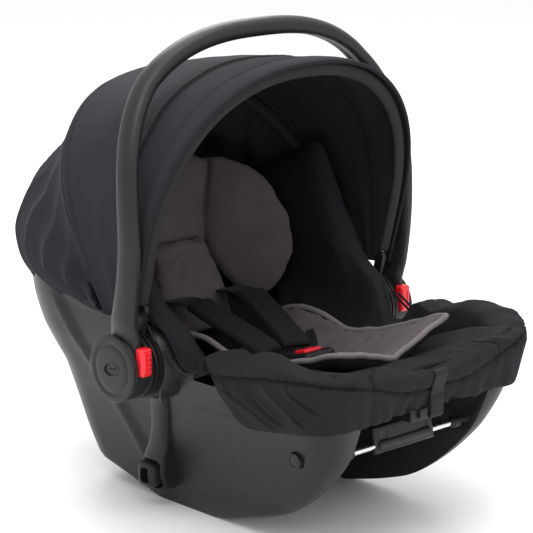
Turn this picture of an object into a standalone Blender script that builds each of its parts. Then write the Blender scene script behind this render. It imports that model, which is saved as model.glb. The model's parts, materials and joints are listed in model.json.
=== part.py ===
"""Infant car seat: moulded shell, swinging carry handle, folding canopy, padded cover and harness.

Every piece is laid out in millimetres around the handle's hub axis: X across the seat, Y from the
foot end (negative) to the head end, Z up. to_part() turns that into metres with the floor at Z = 0.
"""

import math

import bmesh
import bpy
from mathutils import Matrix, Vector

MM = 0.001
GAP = 0.35  # between touching pieces
HUB_HEIGHT = 189.0  # hub axis above the floor
HUB_FORWARD = -14.8  # hub axis from the middle of the length, towards the foot end

# Shell: height of a level, its front and rear, half width, front and rear corner radius.
SHELL_LEVELS = (
    (-189, -52, 70, 108, 16, 20),
    (-180, -88, 100, 112, 18, 28),
    (-168, -128, 143, 116, 20, 36),
    (-159, -152, 176, 119, 22, 45),
    (-145, -176, 188, 122, 24, 52),
    (-107, -221, 202, 131, 28, 58),
    (-76, -247, 208, 140, 32, 62),
    (-44, -262, 214, 152, 36, 70),
    (-20, -270, 230, 161, 42, 80),
    (10, -279, 250, 172, 50, 96),
    (50, -284, 268, 178, 56, 110),
    (90, -284, 280, 178, 60, 118),
    (126, -284, 291, 176, 60, 124),
)
TUB_LEVELS = (
    (-113, -24, 52, 84, 30, 34),
    (-95, -60, 84, 98, 36, 44),
    (-60, -125, 126, 112, 44, 58),
    (-20, -204, 168, 132, 52, 76),
    (8, -266, 196, 154, 56, 90),
    (50, -272, 234, 164, 60, 100),
    (90, -272, 266, 166, 60, 110),
    (130, -272, 288, 166, 60, 116),
)
# (y, z) along the shell's top edge, and along the underside of the tub between the skirts.
RIM = (
    (-330, 4),
    (-250, 8),
    (-140, 18),
    (-117, 25),
    (-104, 4),
    (-88, -4),
    (-56, -4),
    (-45, 4),
    (-33, 33),
    (0, 46),
    (40, 58),
    (110, 66),
    (200, 84),
    (330, 128),
)
SKIRT_TOP = (
    (-330, -20),
    (-262, -12),
    (-210, -36),
    (-130, -82),
    (-70, -114),
    (-20, -128),
    (48, -128),
    (90, -112),
    (110, -88),
    (150, -50),
)

AXLE_RADIUS = 7.0
AXLE_SIDES = 32
BOSS_FACE = 179.0  # outer face of the shell's hub seats
HUB_RADIUS = 38.0
CAP_FACE = 222.0  # outer face of the hub caps
LOBE = (197.6, 217.0)  # the handle's foot, between the hub base and the hub cap
RING_LAYER = (197.6, 204.0)
BASE_LAYER = (190.6, 197.2)
FRONT_BRACKET_LAYER = (185.0, 190.2)
REAR_BRACKET_LAYER = (179.4, 184.6)
BRACKET_REACH = 72.0

HANDLE_HALF_WIDTH = 214.5
HANDLE_TOP = 357.0
HANDLE_SHOULDER = 150.5
HANDLE_POWER = 2.6
HANDLE_BOW = 24.0  # how far the legs bow towards the foot end
HANDLE_BOW_HEIGHT = 295.0
HANDLE_THICK = 18.0
HANDLE_DEEP = 30.0

ARCH_SHOULDER = 130.0
ARCH_POWER = 2.3
ARCH_START = 58.0
FRONT_BOW_TILT = 14.0  # degrees towards the foot end
REAR_BOW_TILT = -32.0
HEM_HEIGHT = 54.0
FABRIC = 2.0
FRONT_ARCH = (202.0, 337.0)  # half width and height of each fabric arch, outside face
MIDDLE_ARCH = (198.0, 332.0)
REAR_ARCH = (194.0, 328.0)
REAR_PANEL_START = 78.0
FRONT_BOW_ARCH = (187.6, 322.8)
REAR_BOW_ARCH = (182.0, 322.8)
BOW_RADIUS = 2.0

ROD_PLACE = (-230.0, -74.0)
ROD_RADIUS = 3.5
BUTTON = ((197.9, 213.0), (-43.0, -28.0), (-3.5, 28.5))

# Middle line of the seat, from the front rim down to the seat's bottom and up the back.
SPINE = (
    (-268, 4),
    (-204, -22),
    (-125, -62),
    (-60, -97),
    (0, -112),
    (50, -108),
    (96, -86),
    (142, -45),
    (180, -8),
    (212, 26),
    (238, 54),
    (268, 92),
)
# The cover's wall, by y: foot of its inside, height of its roll, depth and set-out of its flap, thickness.
COVER_FOOT = ((-280, -10), (-220, -20), (-150, -44), (-60, -80), (60, -80), (130, -28), (200, 24), (280, 62))
COVER_CROWN = (
    (-290, 20),
    (-250, 28),
    (-160, 24),
    (-124, 16),
    (-106, 4),
    (-50, 3),
    (-36, 6),
    (-10, 20),
    (10, 58),
    (27, 96),
    (55, 136),
    (75, 128),
    (100, 106),
    (150, 76),
    (200, 38),
    (240, 20),
    (290, 9),
)
COVER_FLAP = ((-290, -40), (-262, -52), (-150, -38), (-126, -22), (-112, 0.8), (300, 0.8))
COVER_SET_OUT = ((-290, 2.4), (-86, 2.4), (-66, -6), (40, -6), (75, -12), (150, -16), (300, -18))
COVER_THICK = ((-290, 5), (-124, 5), (-100, 2.5), (300, 2.5))
COVER_WALL = 18.0

PAD_SPAN = (108, 556)  # distances along SPINE that the foam and the middle pad cover
BUCKLE_PLACE = (0.0, -72.0, -17.0)
BUCKLE_TILT = -14.0
STRAP = 1.8  # webbing thickness
PLUG_PLACE = (-206.0, -74.0)
PLUG_RADIUS = 8.0

COLOURS = {
    "shell_plastic": ((0.045, 0.045, 0.046), 0.38, 0.0),
    "handle_plastic": ((0.05, 0.05, 0.052), 0.42, 0.0),
    "dark_plastic": ((0.018, 0.018, 0.019), 0.5, 0.0),
    "red_plastic": ((0.84, 0.02, 0.03), 0.35, 0.0),
    "steel": ((0.72, 0.73, 0.74), 0.22, 1.0),
    "black_fabric": ((0.026, 0.025, 0.032), 0.9, 0.0),
    "grey_fabric": ((0.075, 0.064, 0.07), 0.92, 0.0),
    "webbing": ((0.012, 0.012, 0.014), 0.75, 0.0),
    "foam": ((0.82, 0.82, 0.8), 0.95, 0.0),
}
SIDES = (("left", -1), ("right", 1))


def to_part(point):
    return Vector((point[0], point[1] + HUB_FORWARD, point[2] + HUB_HEIGHT)) * MM


def clear_scene():
    for obj in list(bpy.data.objects):
        bpy.data.objects.remove(obj, do_unlink=True)


def material(name):
    found = bpy.data.materials.get(name)
    if found:
        return found
    made = bpy.data.materials.new(name)
    made.use_nodes = True
    shader = made.node_tree.nodes["Principled BSDF"]
    colour, roughness, metallic = COLOURS[name]
    shader.inputs["Base Color"].default_value = (*colour, 1.0)
    shader.inputs["Roughness"].default_value = roughness
    shader.inputs["Metallic"].default_value = metallic
    made.diffuse_color = (*colour, 1.0)
    return made


def interpolate(table, at):
    """Values of the last columns where the first column is `at`, along straight runs."""
    if at <= table[0][0]:
        return table[0][1:]
    for low, high in zip(table, table[1:]):
        if at <= high[0]:
            t = (at - low[0]) / (high[0] - low[0])
            return tuple(a + (b - a) * t for a, b in zip(low[1:], high[1:]))
    return table[-1][1:]


def finish(name, bm, slot, origin=(0.0, 0.0, 0.0), smooth=35):
    """Makes the object from a mesh in millimetres, with its origin at `origin`."""
    bmesh.ops.recalc_face_normals(bm, faces=bm.faces)
    pivot = to_part(origin)
    for vert in bm.verts:
        vert.co = to_part(vert.co) - pivot
    mesh = bpy.data.meshes.new(name)
    bm.to_mesh(mesh)
    bm.free()
    mesh.materials.append(material(slot))
    mesh.shade_smooth()
    mesh.set_sharp_from_angle(angle=math.radians(smooth))
    obj = bpy.data.objects.new(name, mesh)
    obj.location = pivot
    bpy.context.scene.collection.objects.link(obj)
    return obj


def cutter(name, bm):
    obj = finish(name, bm, "foam")
    obj.hide_render = True
    obj.display_type = "WIRE"
    return obj


def combine(obj, other, operation):
    change = obj.modifiers.new(other.name, "BOOLEAN")
    change.operation = operation
    change.solver = "EXACT"
    change.object = other


def loft(bm, rings, closed=False):
    """Skins a list of rings with equal counts. The ends are capped unless the rings close on themselves."""
    rows = [[bm.verts.new(point) for point in ring] for ring in rings]
    pairs = list(zip(rows, rows[1:]))
    if closed:
        pairs.append((rows[-1], rows[0]))
    for low, high in pairs:
        for i in range(len(low)):
            j = (i + 1) % len(low)
            bm.faces.new((low[i], low[j], high[j], high[i]))
    if not closed:
        bm.faces.new(list(reversed(rows[0])))
        bm.faces.new(rows[-1])


def lofted(rings, closed=False):
    bm = bmesh.new()
    loft(bm, rings, closed)
    return bm


def sheet(outer, inner):
    """A closed skin between two grids of points."""
    bm = bmesh.new()
    rows_out = [[bm.verts.new(p) for p in row] for row in outer]
    rows_in = [[bm.verts.new(p) for p in row] for row in inner]
    last_row = len(outer) - 1
    last = len(outer[0]) - 1
    for r in range(last_row):
        for c in range(last):
            bm.faces.new((rows_out[r][c], rows_out[r][c + 1], rows_out[r + 1][c + 1], rows_out[r + 1][c]))
            bm.faces.new((rows_in[r][c], rows_in[r + 1][c], rows_in[r + 1][c + 1], rows_in[r][c + 1]))
    for c in range(last):
        bm.faces.new((rows_out[0][c], rows_in[0][c], rows_in[0][c + 1], rows_out[0][c + 1]))
        end_out, end_in = rows_out[last_row], rows_in[last_row]
        bm.faces.new((end_out[c], end_out[c + 1], end_in[c + 1], end_in[c]))
    for r in range(last_row):
        bm.faces.new((rows_out[r][0], rows_out[r + 1][0], rows_in[r + 1][0], rows_in[r][0]))
        bm.faces.new((rows_out[r][last], rows_in[r][last], rows_in[r + 1][last], rows_out[r + 1][last]))
    return bm


def box(low, high, bevel=0.0):
    bm = bmesh.new()
    bmesh.ops.create_cube(bm, size=1.0)
    for vert in bm.verts:
        for axis in range(3):
            vert.co[axis] = low[axis] if vert.co[axis] < 0 else high[axis]
    if bevel:
        bmesh.ops.bevel(bm, geom=list(bm.edges), offset=bevel, segments=2, affect="EDGES", profile=0.6)
    return bm


def side_box(side, low, high, bevel=0.0):
    """A box given for the right side, or its mirror image on the left."""
    if side < 0:
        low, high = (-high[0], low[1], low[2]), (-low[0], high[1], high[2])
    return box(low, high, bevel)


def even(start, end, steps):
    return [start + (end - start) * k / steps for k in range(steps + 1)]


def arc(centre, radius, start, end, steps):
    angles = (math.radians(start + (end - start) * k / steps) for k in range(steps + 1))
    return [(centre[0] + radius * math.cos(a), centre[1] + radius * math.sin(a)) for a in angles]


def outline(level, corner=5, side_points=5):
    """Plan outline of one level: a rectangle whose front and rear corners have their own radii."""
    height, front, rear, half, front_radius, rear_radius = level
    points = arc((half - front_radius, front + front_radius), front_radius, -90, 0, corner)
    points += [(half, y) for y in even(front + front_radius, rear - rear_radius, side_points + 1)[1:-1]]
    points += arc((half - rear_radius, rear - rear_radius), rear_radius, 0, 90, corner)
    points += [(-x, y) for x, y in reversed(points)]
    return [(x, y, height) for x, y in points]


def level_at(levels, height, shrink=0.0):
    _, front, rear, half, front_radius, rear_radius = (height, *interpolate(levels, height))
    return (height, front + shrink, rear - shrink, half - shrink,
            max(front_radius - shrink, 1.5), max(rear_radius - shrink, 1.5))


def turned(x_start, x_end, radius, bore=0.0, chamfer=0.8, sides=AXLE_SIDES, centre=(0.0, 0.0)):
    """A disc, or a ring if it has a bore, along X. Its outer edges are chamfered."""
    low, high = min(x_start, x_end), max(x_start, x_end)
    profile = [
        (low, radius - chamfer),
        (low + chamfer, radius),
        (high - chamfer, radius),
        (high, radius - chamfer),
    ]
    if bore:
        profile += [(high, bore), (low, bore)]

    def ring(x, r):
        turns = (2 * math.pi * k / sides for k in range(sides))
        return [(x, centre[0] + r * math.cos(a), centre[1] + r * math.sin(a)) for a in turns]

    return lofted([ring(x, r) for x, r in profile], closed=bool(bore))


def tube(path, radius, sides=8):
    """A round tube along a list of points, with flat ends."""
    points = [Vector(p) for p in path]
    rings = []
    up = Vector((0.0, 1.0, 0.0))
    for i, point in enumerate(points):
        along = (points[min(i + 1, len(points) - 1)] - points[max(i - 1, 0)]).normalized()
        if i == 0 and abs(along.dot(up)) > 0.9:
            up = Vector((0.0, 0.0, 1.0))
        across = along.cross(up).normalized()
        up = across.cross(along).normalized()
        turns = (2 * math.pi * k / sides for k in range(sides))
        rings.append([point + radius * (math.cos(a) * across + math.sin(a) * up) for a in turns])
    return lofted(rings)


def ribbon(path, width, thickness, across=Vector((1.0, 0.0, 0.0))):
    """A flat strap along a list of points. `across` is the direction of its width."""
    points = [Vector(p) for p in path]
    rings = []
    for i, point in enumerate(points):
        along = (points[min(i + 1, len(points) - 1)] - points[max(i - 1, 0)]).normalized()
        side = (across - across.dot(along) * along).normalized() * (width / 2)
        normal = along.cross(side).normalized() * (thickness / 2)
        under, over = point - normal, point + normal
        rings.append([under - side, under + side, over + side, over - side])
    return lofted(rings)


def smooth_path(points, per_span=3):
    """Points on a Catmull-Rom curve through the given ones."""
    given = [Vector(p) for p in points]
    padded = [2 * given[0] - given[1], *given, 2 * given[-1] - given[-2]]
    path = []
    for i in range(1, len(padded) - 2):
        p0, p1, p2, p3 = padded[i - 1 : i + 3]
        for k in range(per_span):
            t = k / per_span
            path.append(0.5 * (2 * p1 + (p2 - p0) * t + (2 * p0 - 5 * p1 + 4 * p2 - p3) * t * t
                               + (3 * p1 - p0 - 3 * p2 + p3) * t ** 3))
    path.append(given[-1])
    return path


# ---------------------------------------------------------------- shell


def make_shell():
    shell = finish("shell", lofted([outline(level) for level in SHELL_LEVELS]), "shell_plastic")
    for name, side in SIDES:
        seat = turned(side * 128, side * BOSS_FACE, HUB_RADIUS + 2)
        combine(shell, cutter(f"{name}_hub_seat", seat), "UNION")
        combine(shell, cutter(f"{name}_pillar", pillar(side)), "UNION")
    combine(shell, cutter("above_rim", above_rim()), "DIFFERENCE")
    combine(shell, cutter("tub_space", lofted([outline(level) for level in TUB_LEVELS])), "DIFFERENCE")
    combine(shell, cutter("channel", channel()), "DIFFERENCE")
    combine(shell, cutter("back_hollow", back_hollow()), "DIFFERENCE")
    for name, side in SIDES:
        clear = turned(side * BOSS_FACE, side * 240, HUB_RADIUS + 4)
        combine(shell, cutter(f"{name}_hub_clear", clear), "DIFFERENCE")
        bore = turned(side * 140, side * 190, AXLE_RADIUS + GAP, chamfer=0.0)
        combine(shell, cutter(f"{name}_axle_bore", bore), "DIFFERENCE")
        slot = side_box(side, (130, -104, -10), (200, -60, 13), bevel=5)
        combine(shell, cutter(f"{name}_cover_slot", slot), "DIFFERENCE")
        socket = side_box(side, (128, 20, -160), (160, 44, -132))
        combine(shell, cutter(f"{name}_socket_seat", socket), "DIFFERENCE")
        rod_end = turned(side * 86, side * 128, ROD_RADIUS + GAP, chamfer=0.0, sides=16, centre=ROD_PLACE)
        combine(shell, cutter(f"{name}_rod_hole", rod_end), "DIFFERENCE")
        room = PLUG_RADIUS + GAP
        plug_hole = turned(side * 124, side * 150, room, chamfer=0.0, sides=20, centre=PLUG_PLACE)
        combine(shell, cutter(f"{name}_plug_hole", plug_hole), "DIFFERENCE")


def pillar(side):
    """The rib from a hub seat down to the anchor socket."""
    rings = []
    sections = (
        (-6, -8, 20, 130, 176),
        (10, -60, 17, 128, 168),
        (26, -120, 17, 112, 148),
        (32, -164, 15, 106, 140),
    )
    for y, z, half, inner, outer in sections:
        front, rear = y - half, y + half
        corners = ((inner, front), (outer, front + 4), (outer + 3, y), (outer, rear - 4), (inner, rear))
        rings.append([(side * x, depth, z) for x, depth in corners])
    return lofted(rings)


def side_profile(top_or_bottom, limit, half=260.0):
    """A block across X whose one edge follows (y, z) points and whose other edge is level at `limit`."""
    points = list(top_or_bottom) + [(top_or_bottom[-1][0], limit), (top_or_bottom[0][0], limit)]
    return lofted([[(x, y, z) for y, z in points] for x in (-half, half)])


def above_rim():
    return side_profile(RIM, 260.0)


def tapered_block(profile, narrow, slope):
    """A block across X with a (y, z) outline. Its half width grows by `slope` with height above the floor."""
    rings = []
    for side in (-1, 1):
        rings.append([(side * (narrow + slope * (z + HUB_HEIGHT)), y, z) for y, z in profile])
    return lofted(rings)


def channel():
    """The hollow between the skirts, open below and at the foot end, under the tub's floor."""
    return tapered_block(((-330, -200), (150, -200), *reversed(SKIRT_TOP)), 95, 0.04)


def back_hollow():
    """The hollow between the tub's sloping back and the shell's rear wall, open below."""
    rear_wall = ((164, -200), (164, -159), (176, -145), (188, -107), (197, -50), (212, -14))
    under_rim = ((236, 20), (250, 42), (233, 34))
    tub_back = ((196, -4), (140, -58))
    return tapered_block(((140, -200), *rear_wall, *under_rim, *tub_back), 80, 0.03)


def make_anchor_socket(name, side):
    """The slotted socket at the pillar's foot."""
    body = side_box(side, (129, 20.4, -159.6), (150, 43.6, -132.4), bevel=3)
    obj = finish(f"{name}_anchor_socket", body, "dark_plastic")
    slot = side_box(side, (134, 15, -152), (160, 35, -141))
    combine(obj, cutter(f"{name}_anchor_slot", slot), "DIFFERENCE")


def make_screw_cap(name, side):
    cap = turned(side * 125, side * 131.5, PLUG_RADIUS, sides=20, centre=PLUG_PLACE, chamfer=1.2)
    finish(f"{name}_screw_cap", cap, "dark_plastic")


def make_base_rod():
    finish("base_rod", turned(-127, 127, ROD_RADIUS, sides=16, centre=ROD_PLACE), "steel")
    for name, side in SIDES:
        end = turned(side * 79, side * 91, 7, bore=ROD_RADIUS + GAP, sides=16, centre=ROD_PLACE)
        finish(f"{name}_rod_bush", end, "dark_plastic")
    y, z = ROD_PLACE
    plate = box((-46, y - 3, z - 9), (48, y + 3, z + 21), bevel=1)
    lean = Matrix.Rotation(math.radians(-12), 3, "X")
    bmesh.ops.rotate(plate, verts=plate.verts, cent=(0, y, z), matrix=lean)
    obj = finish("guide_plate", plate, "shell_plastic")
    bore = turned(-60, 60, ROD_RADIUS + GAP, chamfer=0.0, sides=16, centre=ROD_PLACE)
    eye = turned(-40, 42, ROD_RADIUS + 3, sides=16, centre=ROD_PLACE)
    combine(obj, cutter("plate_eye", eye), "UNION")
    combine(obj, cutter("plate_bore", bore), "DIFFERENCE")


# ---------------------------------------------------------------- hubs and handle


def make_hub(name, side):
    bore = AXLE_RADIUS + GAP
    base = turned(side * BASE_LAYER[0], side * BASE_LAYER[1], HUB_RADIUS, bore=bore)
    finish(f"{name}_hub_base", base, "dark_plastic")
    finish(f"{name}_lock_ring", lock_ring(side), "dark_plastic")
    finish(f"{name}_hub_axle", turned(side * 168, side * 214, AXLE_RADIUS), "steel")
    cap = finish(f"{name}_hub_cap", turned(side * 217.4, side * CAP_FACE, HUB_RADIUS, chamfer=1.6),
                 "handle_plastic", smooth=50)
    recess = turned(side * 220.6, side * 230, 7, chamfer=0.0, sides=24)
    bmesh.ops.scale(recess, vec=(1, 1.5, 0.75), verts=recess.verts)
    combine(cap, cutter(f"{name}_cap_recess", recess), "DIFFERENCE")


def lock_ring(side):
    """A ring with square notches, one for each place where the handle locks."""
    sides = 24
    notches = (3, 4, 11, 12, 19, 20)

    def ring(x, outer):
        points = []
        for k in range(sides):
            angle = 2 * math.pi * (k + 0.5) / sides
            radius = outer - 3 if outer > 15 and k in notches else outer
            points.append((x, radius * math.cos(angle), radius * math.sin(angle)))
        return points

    low, high = side * RING_LAYER[0], side * RING_LAYER[1]
    bore = AXLE_RADIUS + GAP
    return lofted([ring(low, 21), ring(high, 21), ring(high, bore), ring(low, bore)], closed=True)


def handle_bow(height):
    return min(4.0, -HANDLE_BOW * math.sin(math.pi * min(height, HANDLE_TOP) / HANDLE_BOW_HEIGHT))


def handle_stations():
    """Places along the handle: x, height, the outward normal in XZ, thickness and depth of the section."""
    stations = []
    foot = (
        (4, 199, 216, 40),
        (34, 199, 216, 40),
        (52, 205.3, 222.5, 37),
        (80, 205.5, 223.3, 34),
        (115, 205.5, 223.5, 31),
    )
    for height, inner, outer, deep in foot:
        stations.append(((inner + outer) / 2, height, (1.0, 0.0), outer - inner, deep))
    rise = HANDLE_TOP - HANDLE_SHOULDER
    steps = 14
    for k in range(steps + 1):
        angle = math.pi / 2 * k / steps
        power = 2 / HANDLE_POWER
        x = HANDLE_HALF_WIDTH * math.cos(angle) ** power if k < steps else 0.0
        height = HANDLE_SHOULDER + rise * math.sin(angle) ** power
        slope_x = (x / HANDLE_HALF_WIDTH) ** (HANDLE_POWER - 1) / HANDLE_HALF_WIDTH
        slope_z = ((height - HANDLE_SHOULDER) / rise) ** (HANDLE_POWER - 1) / rise
        size = math.hypot(slope_x, slope_z)
        thick = HANDLE_THICK + 4 * math.sin(angle) ** 4
        stations.append((x, height, (slope_x / size, slope_z / size), thick, HANDLE_DEEP))
    mirrored = [(-x, height, (-n[0], n[1]), thick, deep) for x, height, n, thick, deep in stations[:-1]]
    return mirrored + stations[::-1]


def handle_section(station):
    """Ring of points around the handle: flat inside, rounded outside."""
    x, height, normal, thick, deep = station
    points = []
    for out, depth in ((-0.5, 0.30), (-0.28, 0.47), (0.05, 0.5), (0.33, 0.40), (0.5, 0.17),
                       (0.5, -0.17), (0.33, -0.40), (0.05, -0.5), (-0.28, -0.47), (-0.5, -0.30)):
        points.append((x + normal[0] * out * thick, handle_bow(height) + depth * deep,
                       height + normal[1] * out * thick))
    return points


def make_handle():
    handle = finish("carry_handle", lofted([handle_section(s) for s in handle_stations()]), "handle_plastic")
    for name, side in SIDES:
        lobe = turned(side * LOBE[0], side * LOBE[1], HUB_RADIUS - 1, chamfer=1.5)
        combine(handle, cutter(f"{name}_lobe", lobe), "UNION")
        bore = turned(side * 190, side * 214.5, AXLE_RADIUS + 0.1, chamfer=0.0)
        combine(handle, cutter(f"{name}_handle_bore", bore), "DIFFERENCE")
        recess = turned(side * 190, side * 204.4, 22.2, chamfer=0.0)
        combine(handle, cutter(f"{name}_ring_recess", recess), "DIFFERENCE")
        (x0, x1), (_, _), (z0, z1) = BUTTON
        pocket = side_box(side, (x0 - 8, -60, z0 - GAP), (x1 + GAP, -23.6, z1 + GAP))
        combine(handle, cutter(f"{name}_button_pocket", pocket), "DIFFERENCE")


def make_button(name, side):
    (x0, x1), (y0, y1), (z0, z1) = BUTTON
    body = side_box(side, (x0, y0, z0), (x1, y1, z1), bevel=2.5)
    middle = (side * (x0 + x1) / 2, (y0 + y1) / 2, (z0 + z1) / 2)
    finish(f"{name}_handle_button", body, "red_plastic", origin=middle)


# ---------------------------------------------------------------- canopy


def arch_points(half_width, top, start=ARCH_START, steps=22):
    """(x, radius from the hub axis) along a bow, from the left foot over the top to the right foot."""
    quarter = []
    for k in range(steps // 2 + 1):
        angle = math.pi / 2 * k / (steps // 2)
        power = 2 / ARCH_POWER
        x = half_width * math.cos(angle) ** power if 2 * k < steps else 0.0
        quarter.append((x, ARCH_SHOULDER + (top - ARCH_SHOULDER) * math.sin(angle) ** power))
    legs = [(half_width, start), (half_width, (start + ARCH_SHOULDER) / 2)]
    right = legs + quarter
    return [(-x, r) for x, r in right[:-1]] + right[::-1]


def at_tilt(x, radius, degrees):
    angle = math.radians(degrees)
    return (x, -radius * math.sin(angle), radius * math.cos(angle))


def swept_panel(arch, tilts):
    """Canopy fabric that keeps clear of its neighbours as it turns about the hub axis."""
    outer = arch_points(*arch)
    inner = arch_points(arch[0] - FABRIC, arch[1] - FABRIC)
    return sheet([[at_tilt(x, r, t) for x, r in outer] for t in tilts],
                 [[at_tilt(x, r, t) for x, r in inner] for t in tilts])


def rear_panel():
    """The gathered fabric from the rear bow down to the elastic hem under the shell's rim."""
    outer = arch_points(*REAR_ARCH, start=REAR_PANEL_START)
    inner = arch_points(REAR_ARCH[0] - FABRIC, REAR_ARCH[1] - FABRIC, start=REAR_PANEL_START)
    steps = even(0.0, 1.0, 8)
    return sheet([[rear_point(x, r, t) for x, r in outer] for t in steps],
                 [[rear_point(x, r, t) for x, r in inner] for t in steps])


def rear_point(x, radius, t):
    """A point of the rear fabric: t runs from the rear bow to the level hem."""
    start = REAR_BOW_TILT - 2
    end = -math.degrees(math.acos(HEM_HEIGHT / radius))
    return at_tilt(x, radius, start + (end - start) * t)


def bow_path(arch, tilt):
    return [at_tilt(x, r, tilt) for x, r in arch_points(*arch, start=BRACKET_REACH + GAP)]


def make_canopy():
    finish("canopy_front_panel", swept_panel(FRONT_ARCH, even(FRONT_BOW_TILT + 1, -1, 3)), "black_fabric")
    finish("canopy_middle_panel", swept_panel(MIDDLE_ARCH, even(-1.5, REAR_BOW_TILT, 5)), "black_fabric")
    finish("canopy_rear_panel", rear_panel(), "black_fabric")
    front_bow = tube(bow_path(FRONT_BOW_ARCH, FRONT_BOW_TILT), BOW_RADIUS, sides=6)
    finish("canopy_front_bow", front_bow, "steel")
    rear_bow = tube(bow_path(REAR_BOW_ARCH, REAR_BOW_TILT), BOW_RADIUS, sides=6)
    finish("canopy_rear_bow", rear_bow, "steel")
    for name, side in SIDES:
        rear_arm = bracket_arm(side, REAR_BRACKET_LAYER, REAR_BOW_TILT)
        finish(f"{name}_rear_bracket", rear_arm, "dark_plastic")
        front_arm = bracket_arm(side, FRONT_BRACKET_LAYER, FRONT_BOW_TILT)
        finish(f"{name}_front_bracket", front_arm, "dark_plastic")


def bracket_arm(side, layer, tilt):
    """A ring on the axle with a flat arm whose end meets the bow's foot."""
    low, high = layer
    sides = 24
    bore = AXLE_RADIUS + GAP
    half = 6.0
    ring_radius = 25.0
    join = math.asin(half / ring_radius)
    turns = even(join, 2 * math.pi - join, sides - 1)
    shoulder = BRACKET_REACH - 6.0
    outer = [(ring_radius * math.sin(a), ring_radius * math.cos(a)) for a in turns]
    outer += [(-half, shoulder), (-3.0, BRACKET_REACH), (3.0, BRACKET_REACH), (half, shoulder)]
    inner = [(bore * math.sin(a), bore * math.cos(a)) for a in turns]
    inner += [(bore * u, bore * v) for u, v in ((-0.2, 0.99), (-0.07, 1.0), (0.07, 1.0), (0.2, 0.99))]
    cosine, sine = math.cos(math.radians(tilt)), math.sin(math.radians(tilt))

    def ring(x, points):
        return [(x, -(u * cosine + v * sine), v * cosine - u * sine) for u, v in points]

    near, far = side * low, side * high
    return lofted([ring(near, outer), ring(far, outer), ring(far, inner), ring(near, inner)], closed=True)


# ---------------------------------------------------------------- cover, foam and inserts


def spine_frame():
    """Points on the seat's middle line with their forward-and-up normals and the distance along it."""
    path = smooth_path([(0, y, z) for y, z in SPINE], 3)
    frames = []
    length = 0.0
    for i, point in enumerate(path):
        along = (path[min(i + 1, len(path) - 1)] - path[max(i - 1, 0)]).normalized()
        if i:
            length += (point - path[i - 1]).length
        frames.append((length, point, Vector((0.0, -along.z, along.y))))
    return frames


def spine_at(distance):
    frames = spine_frame()
    for (s0, p0, n0), (s1, p1, n1) in zip(frames, frames[1:]):
        if distance <= s1:
            t = (distance - s0) / (s1 - s0)
            return p0.lerp(p1, t), n0.lerp(n1, t).normalized()
    return frames[-1][1], frames[-1][2]


def spine_pad(start, end, rows, half_width, low, high, columns=6):
    """A pad that follows the seat's middle line.

    half_width(t), low(t, u) and high(t, u) take t from 0 at the foot end to 1, and u across from -1 to 1.
    """
    top, bottom = [], []
    for t in even(0.0, 1.0, rows):
        point, normal = spine_at(start + (end - start) * t)
        row_top, row_bottom = [], []
        for u in even(-1.0, 1.0, columns):
            x = u * half_width(t)
            row_top.append(point + normal * high(t, u) + Vector((x, 0, 0)))
            row_bottom.append(point + normal * low(t, u) + Vector((x, 0, 0)))
        top.append(row_top)
        bottom.append(row_bottom)
    return sheet(top, bottom)


def cover_ring():
    """The cover's padded wall: up inside the tub, over the rim as a roll, and down outside as a flap."""
    count = len(cover_outline(SHELL_LEVELS[0]))
    rings = [cover_section(i) for i in range(count)]
    return lofted(rings, closed=True)


def cover_outline(level):
    return outline(level, side_points=13)


def cover_section(i):
    """Ring of points round the cover's wall at place i of the outline."""
    height = 20.0
    for _ in range(5):
        y = cover_outline(level_at(SHELL_LEVELS, height))[i][1]
        height = interpolate(RIM, y)[0]
    top = max(interpolate(RIM, y + near)[0] for near in (-7, 0, 7)) + 2.0
    bottom = interpolate(COVER_FOOT, y)[0]
    crown = interpolate(COVER_CROWN, y)[0]
    flap = interpolate(COVER_FLAP, y)[0]
    out = interpolate(COVER_SET_OUT, y)[0]
    thick = interpolate(COVER_THICK, y)[0]
    hem = top + flap if flap < 0 else top + 0.3

    def tub(level, inward):
        return cover_outline(level_at(TUB_LEVELS, level, inward))[i]

    def skin(level, outward):
        return cover_outline(level_at(SHELL_LEVELS, level, -outward))[i]

    levels = even(bottom, top - 2, 3)
    points = [tub(z, 4.0) for z in levels]
    points.append((*tub(top, 1.5)[:2], top))
    points.append(skin(top, out))
    points.append(skin(hem, out))
    points.append(skin(hem + 0.2, out + thick))
    points.append(skin(top + 0.45 * crown, out + thick + 1.5))
    points.append(skin(top + 0.85 * crown, out - 4))
    points.append((*tub(top, 2)[:2], top + crown))
    points.append((*tub(top, 12)[:2], top + 0.75 * crown))
    points += [tub(z, COVER_WALL) for z in reversed(levels)]
    return points


def foam_top(t):
    return 7 + 30 * t ** 3


def centre_pad_top(t, u):
    """The cover's middle pad is thickest at the seat's bottom and thin behind the back."""
    return foam_top(t) + 8 + 16 * math.sin(math.pi * min(1.0, t / 0.75)) * (1 - 0.4 * u * u)


def make_foam_and_pads():
    foam = spine_pad(*PAD_SPAN, 12, lambda t: 70 + 20 * t * t, lambda t, u: 3.5 + 12 * t * u ** 4,
                     lambda t, u: foam_top(t))
    finish("foam_liner", foam, "foam")
    centre = spine_pad(*PAD_SPAN, 12, lambda t: 68 + 20 * t * t, lambda t, u: foam_top(t) + 0.5,
                       centre_pad_top)
    finish("cover_centre_pad", centre, "black_fabric")
    finish("insert_seat_pad", insert_seat_pad(), "grey_fabric")
    finish("insert_back_pad", insert_back_pad(), "grey_fabric")
    finish("head_pillow", head_pillow(), "grey_fabric")


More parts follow.
